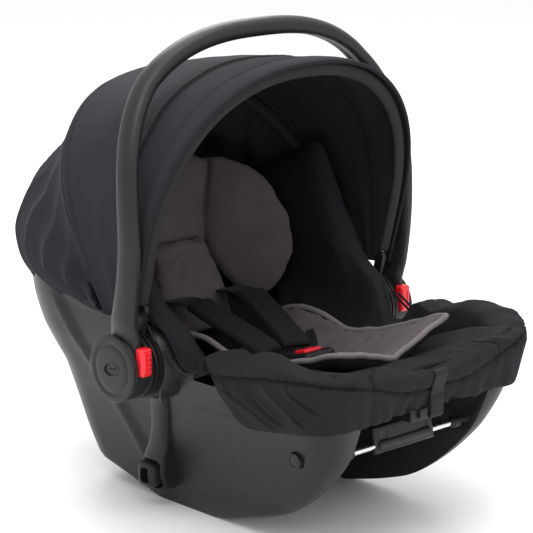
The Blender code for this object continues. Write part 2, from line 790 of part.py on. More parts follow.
def insert_seat_pad():
    """The insert's leg part: a trough with raised sides and a pointed front corner on each side."""
    half_width = 86.0
    middle_and_rise = (
        (-216, 15, 34),
        (-165, -6, 38),
        (-118, -20, 40),
        (-66, -34, 44),
        (-12, -42, 58),
        (34, -40, 60),
        (56, -34, 60),
    )
    top, bottom = [], []
    for y, z, rise in middle_and_rise:
        row_top, row_bottom = [], []
        for u in even(-1.0, 1.0, 8):
            lift = rise * abs(u) ** 2.0
            row_top.append((u * half_width, y, z + lift))
            row_bottom.append((u * half_width, y, z + lift - 13))
        top.append(row_top)
        bottom.append(row_bottom)
    return sheet(top, bottom)


def insert_back_pad():
    """The insert's back part, crowned so that its sides fall back."""
    # how far back the front face is, its height and half its width
    front = ((84, -22, 57), (95, -5, 57), (106, 25, 55), (116, 50, 50), (125, 73, 46))
    forward, back = [], []
    for y, z, half in front:
        forward.append([(u * half, y + 14 * u * u, z) for u in even(-1.0, 1.0, 6)])
        back.append([(u * half, y + 20 + 10 * u * u, z - 3) for u in even(-1.0, 1.0, 6)])
    return sheet(forward, back)


def head_pillow():
    """A middle panel between two big rounded wings that come forward and down beside the head."""
    # distance from the middle, bottom and top height, and how far back the front face is at each
    outline = (
        (0, 88, 176, 147, 172),
        (30, 88, 177, 148, 172),
        (50, 86, 177, 152, 171),
        (63, 62, 177, 136, 162),
        (78, 30, 175, 119, 145),
        (95, 13, 168, 102, 125),
        (112, 30, 150, 83, 104),
        (124, 62, 112, 73, 82),
    )
    columns = [(-x, *rest) for x, *rest in outline[:0:-1]] + list(outline)
    forward, back = [], []
    for t in (0.0, 0.12, 0.35, 0.65, 0.88, 1.0):
        inset = 0.72 if t in (0.0, 1.0) else 1.0
        row_forward, row_back = [], []
        for x, low, high, y_low, y_high in columns:
            y = y_low + (y_high - y_low) * t
            z = low + (high - low) * t
            row_forward.append((x, y + 18 * (1 - inset), z))
            row_back.append((x, y + 18 + 18 * inset, z))
        forward.append(row_forward)
        back.append(row_back)
    return sheet(forward, back)


# ---------------------------------------------------------------- harness


def make_harness():
    tilt = Matrix.Rotation(math.radians(BUCKLE_TILT), 3, "X")
    place = Vector(BUCKLE_PLACE)
    body = box((-23, -34, -9), (23, 26, 9), bevel=4)
    turn_to(body, tilt, place)
    housing = finish("buckle_housing", body, "dark_plastic")
    button = box((-13, -22, 5.4), (13, -4, 12), bevel=1.5)
    turn_to(button, tilt, place)
    finish("buckle_button", button, "red_plastic", origin=tilt @ Vector((0, -13, 8.7)) + place)
    well = box((-13.4, -22.4, 1.0), (13.4, -3.6, 20))
    turn_to(well, tilt, place)
    combine(housing, cutter("buckle_well", well), "DIFFERENCE")
    for name, side in SIDES:
        slot = side_box(side, (3.0, 10, -2.2), (17.0, 40, 1.6))
        turn_to(slot, tilt, place)
        combine(housing, cutter(f"{name}_tongue_slot", slot), "DIFFERENCE")
        tongue = side_box(side, (3.4, 12, -1.6), (16.6, 44, 1.0))
        turn_to(tongue, tilt, place)
        finish(f"{name}_buckle_tongue", tongue, "steel")
        make_straps(name, side)
    crotch = [(0, -106.6, -9), (0, -110, -13), (0, -113, -18)]
    finish("crotch_strap", ribbon(crotch, 36, STRAP), "webbing")


def make_straps(name, side):
    """One side's shoulder pad, the webbing above it, and the lap belt."""
    pad = [(side * x, y, z) for x, y, z in ((22, -40, -8), (29, -6, 8), (36, 26, 22), (41, 56, 38))]
    finish(f"{name}_shoulder_pad", ribbon(smooth_path(pad, 2), 38, 12), "black_fabric")
    strap = [(side * x, y, z) for x, y, z in ((41, 64, 42), (42, 82, 54), (42, 97, 63))]
    finish(f"{name}_shoulder_strap", ribbon(strap, 36, STRAP), "webbing")
    lap = [(side * x, y, z) for x, y, z in ((36, -45, -20), (53, -24, -12), (69, 2, 3), (78, 32, 23))]
    lap_width = Vector((0.52 * side, -0.68, 0.51))
    finish(f"{name}_lap_strap", ribbon(smooth_path(lap, 2), 34, STRAP, lap_width), "webbing")


def turn_to(bm, rotation, place):
    for vert in bm.verts:
        vert.co = rotation @ vert.co + place


def make_adjuster():
    over_edge = ((-226, 24), (-248, 36), (-270, 40), (-288, 31), (-293, 14), (-292, -14), (-290, -40))
    over_path = smooth_path([(0, y, z) for y, z in over_edge], 2)
    finish("adjuster_strap", ribbon(over_path, 20, STRAP), "webbing")
    under = (
        (122, -112),
        (84, -131),
        (20, -136),
        (-30, -134),
        (-80, -116),
        (-140, -84),
        (-210, -46),
        (-236, -36),
    )
    under_path = smooth_path([(0, y, z) for y, z in under], 2)
    finish("splitter_strap", ribbon(under_path, 24, STRAP), "webbing")
    plate = box((-26, -9, -1.5), (26, 9, 1.5), bevel=0.8)
    turn_to(plate, Matrix.Rotation(math.radians(52), 3, "X"), Vector((0, 132, -100)))
    finish("splitter_plate", plate, "steel")
    housing = finish("adjuster_housing", box((-20, -262, -46), (20, -238, -26), bevel=1.5), "dark_plastic")
    pocket = box((-9.4, -280, -42.4), (9.4, -256.5, -30.6))
    combine(housing, cutter("adjuster_pocket", pocket), "DIFFERENCE")
    button = box((-9, -265.4, -42), (9, -260, -31), bevel=1)
    finish("adjuster_button", button, "dark_plastic", origin=(0, -262.7, -36.5))


def make_elastic_loop(name, side):
    """The cord that hooks the cover's edge into the slot in the shell's side."""
    places = ((184, -46, 24), (187, -58, 10), (186, -74, 1), (183, -86, 1), (179, -91, 5))
    path = smooth_path([(side * x, y, z) for x, y, z in places], 3)
    finish(f"{name}_elastic_loop", tube(path, 1.4, sides=6), "webbing")


def main():
    clear_scene()
    make_shell()
    for name, side in SIDES:
        make_anchor_socket(name, side)
        make_screw_cap(name, side)
        make_hub(name, side)
        make_button(name, side)
        make_elastic_loop(name, side)
    make_base_rod()
    make_handle()
    make_canopy()
    finish("seat_cover", cover_ring(), "black_fabric")
    make_foam_and_pads()
    make_harness()
    make_adjuster()


main()
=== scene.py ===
"""Looks of the infant car seat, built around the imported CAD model.

Shapes are laid out in millimetres around the handle's hub axis: X across, Y from the foot end
(negative) to the head end, Z up. placed() turns that into the row frame, in metres.
"""

import json
import math

import bmesh
import bpy
import numpy as np
from mathutils import Matrix, Vector, noise


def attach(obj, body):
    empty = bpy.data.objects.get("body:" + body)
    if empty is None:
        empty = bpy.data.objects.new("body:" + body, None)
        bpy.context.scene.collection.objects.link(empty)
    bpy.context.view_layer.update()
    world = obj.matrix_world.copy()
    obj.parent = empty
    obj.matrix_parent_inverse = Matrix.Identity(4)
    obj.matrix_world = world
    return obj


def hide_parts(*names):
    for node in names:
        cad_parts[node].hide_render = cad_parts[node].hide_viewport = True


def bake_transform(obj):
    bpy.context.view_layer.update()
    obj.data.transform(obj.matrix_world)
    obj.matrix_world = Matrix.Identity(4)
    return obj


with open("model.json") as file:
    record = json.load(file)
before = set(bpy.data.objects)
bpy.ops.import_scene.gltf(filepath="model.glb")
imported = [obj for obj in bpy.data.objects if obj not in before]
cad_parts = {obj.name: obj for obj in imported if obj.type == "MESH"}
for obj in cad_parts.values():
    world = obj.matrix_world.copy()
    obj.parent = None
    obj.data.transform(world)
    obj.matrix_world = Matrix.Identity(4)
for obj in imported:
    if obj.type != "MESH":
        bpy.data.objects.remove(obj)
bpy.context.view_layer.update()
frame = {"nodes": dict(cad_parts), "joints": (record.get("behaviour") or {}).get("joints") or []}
NODES = frame["nodes"]
MM = 0.001
HUB = np.array(next(j["pos_m"] for j in frame["joints"] if j["name"] == "handle_swing"))
SIDES = (("left", -1), ("right", 1))
scene = bpy.context.scene


# ---------------------------------------------------------------- helpers


def placed(points):
    """Hub-frame millimetres to the row frame's metres."""
    return np.asarray(points, float) * MM + HUB


def smooth_curve(xs, ys, at):
    """Monotone cubic through the points (xs, ys), held level beyond the ends."""
    xs, ys = np.asarray(xs, float), np.asarray(ys, float)
    steps, rises = np.diff(xs), np.diff(ys)
    slopes = rises / steps
    tangents = np.concatenate(([slopes[0]], np.zeros(len(xs) - 2), [slopes[-1]]))
    for i in range(1, len(xs) - 1):
        if slopes[i - 1] * slopes[i] > 0:
            w1 = 2 * steps[i] + steps[i - 1]
            w2 = steps[i] + 2 * steps[i - 1]
            tangents[i] = (w1 + w2) / (w1 / slopes[i - 1] + w2 / slopes[i])
    at = np.clip(np.asarray(at, float), xs[0], xs[-1])
    k = np.clip(np.searchsorted(xs, at, side="right") - 1, 0, len(xs) - 2)
    t = (at - xs[k]) / steps[k]
    h00, h10 = 2 * t**3 - 3 * t**2 + 1, t**3 - 2 * t**2 + t
    leaving = h00 * ys[k] + h10 * steps[k] * tangents[k]
    return leaving + (1 - h00) * ys[k + 1] + (t**3 - t**2) * steps[k] * tangents[k + 1]


def table_curve(table, column, at):
    """A column of a table as a smooth curve over its first column."""
    return smooth_curve([row[0] for row in table], [row[column] for row in table], at)


def smoothstep(low, high, value):
    """0 at low, 1 at high and level beyond them. low may be the greater."""
    t = np.clip((np.asarray(value, float) - low) / (high - low), 0.0, 1.0)
    return t * t * (3 - 2 * t)


def bump(distance, width):
    """A bell shape, 1 at no distance and 0.37 at its width."""
    return np.exp(-((np.asarray(distance, float) / width) ** 2))


def resample(points, count):
    """Evenly spaced points along a polyline."""
    points = np.asarray(points, float)
    lengths = np.concatenate(([0.0], np.cumsum(np.linalg.norm(np.diff(points, axis=0), axis=1))))
    at = np.linspace(0, lengths[-1], count)
    return np.stack([np.interp(at, lengths, points[:, k]) for k in range(points.shape[1])], 1)


def spline(points, per_span=8, closed=False):
    """Catmull-Rom curve through the points."""
    p = np.asarray(points, float)
    if closed:
        p = np.vstack([p[-1], p, p[:2]])
    else:
        p = np.vstack([2 * p[0] - p[1], p, 2 * p[-1] - p[-2]])
    t = (np.arange(per_span) / per_span)[:, None]
    parts = []
    for i in range(1, len(p) - 2):
        a, b, c, d = p[i - 1], p[i], p[i + 1], p[i + 2]
        span = 2 * b + (c - a) * t + (2 * a - 5 * b + 4 * c - d) * t**2 + (3 * b - a - 3 * c + d) * t**3
        parts.append(0.5 * span)
    if not closed:
        parts.append(p[-2][None])
    return np.vstack(parts)


def directions(path):
    """Unit vectors along a path."""
    along = np.gradient(path, axis=0)
    return along / np.linalg.norm(along, axis=1, keepdims=True)


def grid_normals(grid, wrap_rows=False, wrap_columns=False):
    def along(g, axis, wrap):
        if wrap:
            return np.roll(g, -1, axis) - np.roll(g, 1, axis)
        return np.gradient(g, axis=axis)

    n = np.cross(along(grid, 1, wrap_columns), along(grid, 0, wrap_rows))
    return n / np.maximum(np.linalg.norm(n, axis=-1, keepdims=True), 1e-9)


def ripple(points, scale, seed=0.0):
    """Smooth noise from -1 to 1 at each point. `scale` is its size in millimetres."""
    flat = np.asarray(points, float).reshape(-1, 3) / scale
    offset = Vector((seed, seed * 1.7, -seed))
    values = [noise.noise(Vector(p) + offset) for p in flat]
    return np.array(values).reshape(np.shape(points)[:-1])


def noise_at(points):
    return np.array([noise.noise(Vector(p)) for p in points])


def add_object(name, data):
    obj = bpy.data.objects.new(name, data)
    scene.collection.objects.link(obj)
    return obj


def mesh_object(name, verts, faces, uv=None):
    mesh = bpy.data.meshes.new(name)
    mesh.from_pydata([tuple(v) for v in verts], [], [tuple(f) for f in faces])
    if uv is not None:
        layer = mesh.uv_layers.new(name="cloth")
        loops = np.zeros(len(mesh.loops), np.int32)
        mesh.loops.foreach_get("vertex_index", loops)
        layer.data.foreach_set("uv", np.asarray(uv, np.float32)[loops].ravel())
    mesh.shade_smooth()
    return add_object(name, mesh)


def run_lengths(grid, axis):
    """Distance run from the grid's first row (axis 0) or column (axis 1) to each point."""
    steps = np.linalg.norm(np.diff(grid, axis=axis), axis=2)
    start = np.zeros_like(np.take(steps, [0], axis))
    return np.concatenate([start, np.cumsum(steps, axis)], axis)


def grid_object(name, grid, wrap_rows=False, wrap_columns=False, flip=False):
    """A surface through rows of hub-frame points, with UVs in metres along its rows and columns."""
    rows, columns = grid.shape[:2]
    index = np.arange(rows * columns).reshape(rows, columns)
    if wrap_rows:
        index = np.vstack([index, index[:1]])
    if wrap_columns:
        index = np.hstack([index, index[:, :1]])
    a, b = index[:-1, :-1].ravel(), index[:-1, 1:].ravel()
    c, d = index[1:, 1:].ravel(), index[1:, :-1].ravel()
    faces = np.stack([a, d, c, b] if flip else [a, b, c, d], 1)
    u = run_lengths(grid, 1)
    u = np.broadcast_to(u.mean(0), u.shape) - u.mean(0)[columns // 2]
    uv = np.stack([u.ravel(), run_lengths(grid, 0).ravel()], 1) * MM
    return mesh_object(name, placed(grid.reshape(-1, 3)), faces, uv)


def bake(obj):
    """Applies the object's modifiers."""
    bpy.context.view_layer.update()
    graph = bpy.context.evaluated_depsgraph_get()
    mesh = bpy.data.meshes.new_from_object(
        obj.evaluated_get(graph), preserve_all_data_layers=True, depsgraph=graph
    )
    old = obj.data
    obj.modifiers.clear()
    obj.data = mesh
    bpy.data.meshes.remove(old)
    return obj


def thicken(obj, thickness, inner=None):
    """Gives a surface a thickness in millimetres, inwards. `inner` is the inside's material index."""
    solid = obj.modifiers.new("thick", "SOLIDIFY")
    solid.thickness = thickness * MM
    solid.offset = -1.0
    solid.use_even_offset = False
    if inner is not None:
        solid.material_offset = inner
    return bake(obj)


def close_up(obj, caps=()):
    """Puts a face on each loop of vertex numbers in `caps`, then turns every face outwards."""
    bm = bmesh.new()
    bm.from_mesh(obj.data)
    bm.verts.ensure_lookup_table()
    for loop in caps:
        bm.faces.new([bm.verts[i] for i in loop])
    bmesh.ops.recalc_face_normals(bm, faces=bm.faces)
    bm.to_mesh(obj.data)
    bm.free()
    return obj


def lofted(name, rings):
    """A closed skin over rings with equal counts."""
    rings = np.asarray(rings, float)
    obj = grid_object(name, rings, wrap_columns=True)
    count = rings.shape[1]
    last = (rings.shape[0] - 1) * count
    close_up(obj, (range(count), range(last, last + count)))
    obj.data.shade_smooth()
    return obj


def tube_rings(path, radius, sides=10, flatten=1.0, up=(0.0, 0.0, 1.0)):
    """Rings around a path. `flatten` scales them one way across."""
    path = np.asarray(path, float)
    rings = []
    normal = np.asarray(up, float)
    turns = 2 * np.pi * np.arange(sides) / sides
    for p, t in zip(path, directions(path)):
        normal = normal - normal.dot(t) * t
        normal /= np.linalg.norm(normal)
        side = np.cross(t, normal)
        rings.append(p + radius * (np.cos(turns)[:, None] * side + flatten * np.sin(turns)[:, None] * normal))
    return np.array(rings)


def tube(name, path, radius, **kind):
    return lofted(name, tube_rings(path, radius, **kind))


def join(name, objects):
    """Joins objects into the first of them."""
    bpy.ops.object.select_all(action="DESELECT")
    for obj in objects:
        obj.select_set(True)
    bpy.context.view_layer.objects.active = objects[0]
    bpy.ops.object.join()
    objects[0].name = name
    objects[0].data.name = name
    return objects[0]


def crease(obj, degrees):
    """Marks the edges that turn by more than this as sharp."""
    obj.data.set_sharp_from_angle(angle=math.radians(degrees))
    return obj


def cut(obj, tool, operation="DIFFERENCE"):
    change = obj.modifiers.new(tool.name, "BOOLEAN")
    change.operation = operation
    change.solver = "EXACT"
    change.object = tool
    bake(obj)
    bpy.data.objects.remove(tool)
    return obj


def dress(obj, *materials):
    """Gives an object these materials and no others."""
    obj.data.materials.clear()
    for material in materials:
        obj.data.materials.append(material)
    return obj


def fit(obj, body, slot, *nodes, fill=None):
    """Rides a body in place of CAD nodes. `slot`, a material slot's name, is not used. `fill`, given for a
    padded piece, is not used.
    """
    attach(obj, body)
    if nodes:
        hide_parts(*nodes)


def block(name, low, high, bevel, segments=3):
    """A box with rounded edges, in hub-frame millimetres."""
    bm = bmesh.new()
    bmesh.ops.create_cube(bm, size=1.0)
    for vert in bm.verts:
        corner = [low[k] if vert.co[k] < 0 else high[k] for k in range(3)]
        vert.co = Vector(placed(corner))
    edges = list(bm.edges)
    bmesh.ops.bevel(bm, geom=edges, offset=bevel * MM, segments=segments, affect="EDGES", profile=0.5)
    mesh = bpy.data.meshes.new(name)
    bm.to_mesh(mesh)
    bm.free()
    mesh.shade_smooth()
    return add_object(name, mesh)


def side_block(name, side, low, high, bevel, segments=3):
    """A block given for the right side, and mirrored when side is -1."""
    if side < 0:
        low, high = (-high[0], low[1], low[2]), (-low[0], high[1], high[2])
    return block(name, low, high, bevel, segments)


def turned(name, profile, sides=64, centre=(0.0, 0.0), stretch=(1.0, 1.0)):
    """A closed solid turned about an axis along X: profile is (x, radius) from one end to the other."""
    turns = 2 * np.pi * np.arange(sides) / sides
    rings = []
    for x, r in profile:
        y = centre[0] + stretch[0] * r * np.cos(turns)
        z = centre[1] + stretch[1] * r * np.sin(turns)
        rings.append(np.stack([np.full(sides, float(x)), y, z], 1))
    return lofted(name, rings)


def side_turned(name, side, profile, *shape, **more):
    """A turned solid given for the right side, and mirrored when side is -1."""
    return turned(name, [(side * x, r) for x, r in profile], *shape, **more)


# ---------------------------------------------------------------- camera, floor and light


CAMERA_PLACE = (-1703.7, -1819.3, 684.8)
CAMERA_TARGET = (19.15, 6.97, 74.98)
LENS = 149.7
SENSOR_WIDTH = 36.0
FLOOR_CORNERS = ((-9, -9), (9, -9), (9, 9), (-9, 9))
FLOOR_HEIGHT = -0.0005
LAMP_TARGET = (0, 0, 0.25)
# Name, place, size, power and colour of each area lamp.
LAMPS = (
    ("key", (-1.3, -0.9, 2.7), 1.5, 34.0, (1.0, 0.99, 0.98)),
    ("top", (0.3, 0.3, 3.0), 1.8, 30.0, (1.0, 1.0, 1.0)),
    ("front", (0.6, -2.6, 1.5), 1.8, 9.0, (1.0, 1.0, 1.0)),
    ("rim", (1.2, 1.9, 1.9), 1.4, 26.0, (0.98, 0.99, 1.0)),
)


def aim(obj, place, target):
    obj.location = place
    obj.rotation_euler = (Vector(target) - Vector(place)).to_track_quat("-Z", "Y").to_euler()


def make_camera():
    """A long lens from the foot end's left corner, a little above the seat."""
    camera = add_object("camera", bpy.data.cameras.new("camera"))
    camera.data.lens = LENS
    camera.data.sensor_width = SENSOR_WIDTH
    aim(camera, placed(CAMERA_PLACE), placed(CAMERA_TARGET))
    scene.camera = camera


def make_stage():
    scene.view_settings.view_transform = "Standard"
    floor = mesh_object("floor", [(x, y, FLOOR_HEIGHT) for x, y in FLOOR_CORNERS], [(0, 1, 2, 3)])
    material, tree = new_material("floor")
    shader = tree.nodes["Principled BSDF"]
    shader.inputs["Base Color"].default_value = (0.93, 0.93, 0.93, 1)
    shader.inputs["Roughness"].default_value = 0.9
    shader.inputs["Specular IOR Level"].default_value = 0.1
    dress(floor, material)
    world = bpy.data.worlds.new("studio")
    scene.world = world
    world.use_nodes = True
    background = world.node_tree.nodes["Background"]
    background.inputs["Color"].default_value = (1.0, 1.0, 1.0, 1)
    background.inputs["Strength"].default_value = 1.0
    for name, place, size, power, colour in LAMPS:
        data = bpy.data.lights.new(name, "AREA")
        data.shape = "SQUARE"
        data.size = size
        data.energy = power
        data.color = colour
        aim(add_object(name, data), place, LAMP_TARGET)


# ---------------------------------------------------------------- materials


def new_material(name):
    material = bpy.data.materials.new(name)
    material.use_nodes = True
    return material, material.node_tree


class Shade:
    """Builds a material's nodes."""

    def __init__(self, name, colour, roughness, metallic=0.0, specular=0.5, sheen=0.0):
        self.material, self.tree = new_material(name)
        self.shader = self.tree.nodes["Principled BSDF"]
        self.shader.inputs["Base Color"].default_value = (*colour, 1)
        self.shader.inputs["Roughness"].default_value = roughness
        self.shader.inputs["Metallic"].default_value = metallic
        self.shader.inputs["Specular IOR Level"].default_value = specular
        self.shader.inputs["Sheen Weight"].default_value = sheen
        self.shader.inputs["Sheen Roughness"].default_value = 0.45
        self.material.diffuse_color = (*colour, 1)
        self.height = None

    def node(self, kind, **settings):
        made = self.tree.nodes.new(kind)
        for key, value in settings.items():
            setattr(made, key, value)
        return made

    def link(self, source, target):
        self.tree.links.new(source, target)

    def coords(self, which="Object", scale=(1.0, 1.0, 1.0)):
        source = self.node("ShaderNodeTexCoord").outputs[which]
        mapping = self.node("ShaderNodeMapping")
        mapping.inputs["Scale"].default_value = scale
        self.link(source, mapping.inputs["Vector"])
        return mapping.outputs["Vector"]

    def noise(self, coords, scale, detail=3.0, rough=0.5):
        made = self.node("ShaderNodeTexNoise")
        made.inputs["Scale"].default_value = scale
        made.inputs["Detail"].default_value = detail
        made.inputs["Roughness"].default_value = rough
        self.link(coords, made.inputs["Vector"])
        return made.outputs["Fac"]

    def wave(self, coords, scale, direction, distortion=0.0):
        bands = {"wave_type": "BANDS", "bands_direction": direction, "wave_profile": "SIN"}
        made = self.node("ShaderNodeTexWave", **bands)
        made.inputs["Scale"].default_value = scale
        made.inputs["Distortion"].default_value = distortion
        made.inputs["Detail"].default_value = 1.0
        self.link(coords, made.inputs["Vector"])
        return made.outputs["Fac"]

    def math(self, operation, a, b):
        made = self.node("ShaderNodeMath", operation=operation)
        for socket, value in zip(made.inputs, (a, b)):
            if isinstance(value, (int, float)):
                socket.default_value = value
            else:
                self.link(value, socket)
        return made.outputs[0]

    def spread(self, value, low, high):
        """Value from 0..1 onto low..high."""
        made = self.node("ShaderNodeMapRange")
        made.inputs["To Min"].default_value = low
        made.inputs["To Max"].default_value = high
        self.link(value, made.inputs["Value"])
        return made.outputs["Result"]

    def ramp(self, value, *stops):
        made = self.node("ShaderNodeValToRGB")
        elements = made.color_ramp.elements
        while len(elements) < len(stops):
            elements.new(0.5)
        for element, (position, colour) in zip(elements, stops):
            element.position = position
            element.color = (*colour, 1)
        self.link(value, made.inputs["Fac"])
        return made.outputs["Color"]

    def colour(self, output):
        self.link(output, self.shader.inputs["Base Color"])

    def roughness(self, output):
        self.link(output, self.shader.inputs["Roughness"])

    def bump(self, value, distance):
        """Adds a bump layer, `distance` in millimetres high."""
        made = self.node("ShaderNodeBump")
        made.inputs["Distance"].default_value = distance * MM
        made.inputs["Strength"].default_value = 1.0
        self.link(value, made.inputs["Height"])
        if self.height is not None:
            self.link(self.height, made.inputs["Normal"])
        self.height = made.outputs["Normal"]
        self.link(self.height, self.shader.inputs["Normal"])


def scaled(colour, factor):
    return tuple(min(1.0, c * factor) for c in colour)


def plastic(name, colour, roughness, grain=0.05, specular=0.5, flow=0.15):
    """Moulded plastic: a fine etched grain, faint flow marks and slightly uneven gloss."""
    shade = Shade(name, colour, roughness, specular=specular)
    place = shade.coords()
    mottle = shade.noise(place, 14.0, 4.0, 0.6)
    shade.colour(shade.ramp(mottle, (0.25, scaled(colour, 0.88)), (0.75, scaled(colour, 1.14))))
    scuff = shade.noise(place, 60.0, 5.0, 0.7)
    shade.roughness(shade.spread(scuff, roughness - 0.07, roughness + 0.09))
    shade.bump(shade.noise(place, 1000 / 0.9, 2.0, 0.6), grain)
    shade.bump(shade.noise(place, 9.0, 1.0), flow)
    return shade.material


def woven(name, colour, thread=1.15, sheen=0.25, crumple=0.5, coords="UV"):
    """Plain-woven cloth: warp and weft threads, uneven dye, and small crumples."""
    shade = Shade(name, colour, 0.86, specular=0.25, sheen=sheen)
    shade.shader.inputs["Sheen Tint"].default_value = (*scaled(colour, 6.0), 1)
    place = shade.coords(coords)
    rate = 1000 / thread / 6.2832 * 2  # about one band of the wave texture to a thread
    warp = shade.wave(place, rate, "X", 0.6)
    weft = shade.wave(place, rate, "Y", 0.6)
    weave = shade.math("MULTIPLY", warp, weft)
    solid = shade.coords("Object")
    dye = shade.noise(solid, 22.0, 5.0, 0.65)
    tone = shade.math("ADD", shade.math("MULTIPLY", weave, 0.45), shade.math("MULTIPLY", dye, 0.75))
    shade.colour(shade.ramp(tone, (0.2, scaled(colour, 0.78)), (0.85, scaled(colour, 1.308))))
    shade.roughness(shade.spread(dye, 0.78, 0.94))
    shade.bump(weave, 0.16)
    shade.bump(shade.noise(solid, 55.0, 3.0, 0.6), crumple)
    shade.bump(shade.noise(solid, 160.0, 2.0, 0.5), crumple * 0.28)
    return shade.material


def knitted(name, colour, sheen=0.5, crumple=0.55):
    """Soft jersey for pieces with no UVs: a fine pile, uneven dye, and soft dimples."""
    shade = Shade(name, colour, 0.93, specular=0.18, sheen=sheen)
    shade.shader.inputs["Sheen Tint"].default_value = (*scaled(colour, 4.0), 1)
    place = shade.coords()
    cells = shade.node("ShaderNodeTexVoronoi", feature="F1", distance="EUCLIDEAN")
    cells.inputs["Scale"].default_value = 900.0
    shade.link(place, cells.inputs["Vector"])
    dye = shade.noise(place, 30.0, 5.0, 0.65)
    pile = cells.outputs["Distance"]
    tone = shade.math("ADD", shade.math("MULTIPLY", pile, 0.35), shade.math("MULTIPLY", dye, 0.8))
    shade.colour(shade.ramp(tone, (0.25, scaled(colour, 0.82)), (0.85, scaled(colour, 1.2))))
    shade.bump(pile, 0.14)
    shade.bump(shade.noise(place, 48.0, 3.0, 0.55), crumple)
    shade.bump(shade.noise(place, 150.0, 2.0, 0.5), crumple * 0.25)
    return shade.material


def webbing(name, colour):
    """Seat-belt webbing: ribs along its length crossed by fine picks."""
    shade = Shade(name, colour, 0.65, specular=0.2, sheen=0.05)
    place = shade.coords("UV")
    ribs = shade.wave(place, 160.0, "X", 0.2)
    picks = shade.wave(place, 420.0, "Y", 0.8)
    weave = shade.math("ADD", shade.math("MULTIPLY", ribs, 0.7), shade.math("MULTIPLY", picks, 0.3))
    shade.colour(shade.ramp(weave, (0.1, scaled(colour, 0.6)), (0.9, scaled(colour, 1.5))))
    shade.bump(weave, 0.25)
    return shade.material


def metal(name, colour, roughness):
    """Bright metal with fine drawing marks along X and light tarnish."""
    shade = Shade(name, colour, roughness, metallic=1.0)
    marks = shade.noise(shade.coords("Object", (8.0, 900.0, 900.0)), 1.0, 3.0)
    tarnish = shade.noise(shade.coords(), 90.0, 4.0, 0.6)
    shade.roughness(shade.spread(shade.math("MULTIPLY", marks, tarnish), roughness, roughness + 0.3))
    shade.colour(shade.ramp(tarnish, (0.3, scaled(colour, 0.8)), (0.7, scaled(colour, 1.05))))
    shade.bump(marks, 0.02)
    return shade.material


def make_materials():
    return {
        "shell": plastic("shell_plastic", (0.0125, 0.0130, 0.0130), 0.36, specular=0.26, flow=0.35),
        "handle": plastic("handle_plastic", (0.0130, 0.0135, 0.0140), 0.40, grain=0.06, specular=0.30),
        "dark": plastic("dark_plastic", (0.008, 0.008, 0.009), 0.46, grain=0.04, specular=0.35),
        "red": plastic("red_plastic", (0.78, 0.012, 0.025), 0.3, grain=0.015, specular=0.55),
        "steel": metal("steel", (0.78, 0.80, 0.82), 0.16),
        "black": woven("black_fabric", (0.0165, 0.0155, 0.0205), crumple=0.45, sheen=0.07),
        "cover": woven("cover_fabric", (0.0090, 0.0086, 0.0112), crumple=0.6, sheen=0.04),
        "seam": woven("seam_cord", (0.0045, 0.0045, 0.0055), thread=0.5, crumple=0.05, coords="Object"),
        "lining": woven("lining_fabric", (0.0200, 0.0195, 0.0215), thread=1.5, crumple=0.4, sheen=0.05),
        "piping": woven("piping_fabric", (0.012, 0.0115, 0.015), crumple=0.2, sheen=0.05),
        "grey": knitted("grey_fabric", (0.088, 0.075, 0.083), sheen=0.12),
        "grey_edge": knitted("grey_piping", (0.145, 0.130, 0.138), crumple=0.2, sheen=0.12),
        "dark_mesh": knitted("insert_side_fabric", (0.008, 0.008, 0.009), crumple=0.3, sheen=0.05),
        "webbing": webbing("webbing", (0.008, 0.008, 0.0095)),
        "pad": woven("shoulder_pad_fabric", (0.009, 0.009, 0.0105), thread=1.0, sheen=0.05, crumple=0.35,
                     coords="Object"),
        "thread": woven("stitch_thread", (0.035, 0.034, 0.040), thread=0.4, crumple=0.05, coords="Object"),
        "foam": knitted("foam", (0.78, 0.78, 0.76), crumple=0.2),
    }


# ---------------------------------------------------------------- shell

# Height of a level, its front and rear, half width, front and rear corner radius.
SHELL_LEVELS = (
    (-189, -52, 70, 108, 16, 20),
    (-180, -88, 100, 112, 18, 28),
    (-168, -128, 143, 116, 20, 36),
    (-159, -152, 176, 119, 22, 45),
    (-145, -176, 188, 122, 24, 52),
    (-107, -221, 202, 131, 28, 58),
    (-76, -247, 208, 140, 32, 62),
    (-44, -262, 214, 152, 36, 70),
    (-20, -270, 230, 161, 42, 80),
    (10, -279, 250, 172, 50, 96),
    (50, -284, 268, 178, 56, 110),
    (90, -284, 280, 178, 60, 118),
    (126, -284, 291, 176, 60, 124),
)
TUB_LEVELS = (
    (-113, -24, 52, 84, 30, 34),
    (-95, -60, 84, 98, 36, 44),
    (-60, -125, 126, 112, 44, 58),
    (-20, -204, 168, 132, 52, 76),
    (8, -266, 196, 154, 56, 90),
    (50, -272, 234, 164, 60, 100),
    (90, -272, 266, 166, 60, 110),
    (130, -272, 288, 166, 60, 116),
)
# (y, z) along the shell's top edge and along the underside of the tub between the skirts.
RIM = ((-330, 4), (-250, 8), (-140, 18), (-117, 25), (-104, 4), (-88, -4), (-56, -4), (-45, 4),
       (-33, 33), (0, 46), (40, 58), (110, 66), (200, 84), (330, 128))
SKIRT_TOP = ((-330, -20), (-262, -12), (-210, -36), (-130, -82), (-70, -114), (-20, -128),
             (48, -128), (90, -112), (110, -88), (150, -50))
# The hollow behind the tub's back, as (y, z) all the way round.
BACK_HOLLOW = ((164, -200), (164, -159), (176, -145), (188, -107), (197, -50), (212, -14), (236, 20),
               (250, 42), (233, 34), (196, -4), (140, -58), (140, -200))
# The moulded step across each side, from the rear edge to the pillar, as (y, z).
RIDGE = ((150, 40), (56, -142))
# (distance from the middle, radius) of the seat on which a hub stands.
HUB_SEAT = ((128, 47), (160, 46), (170, 42.5), (177.6, 41), (179, 39.6))
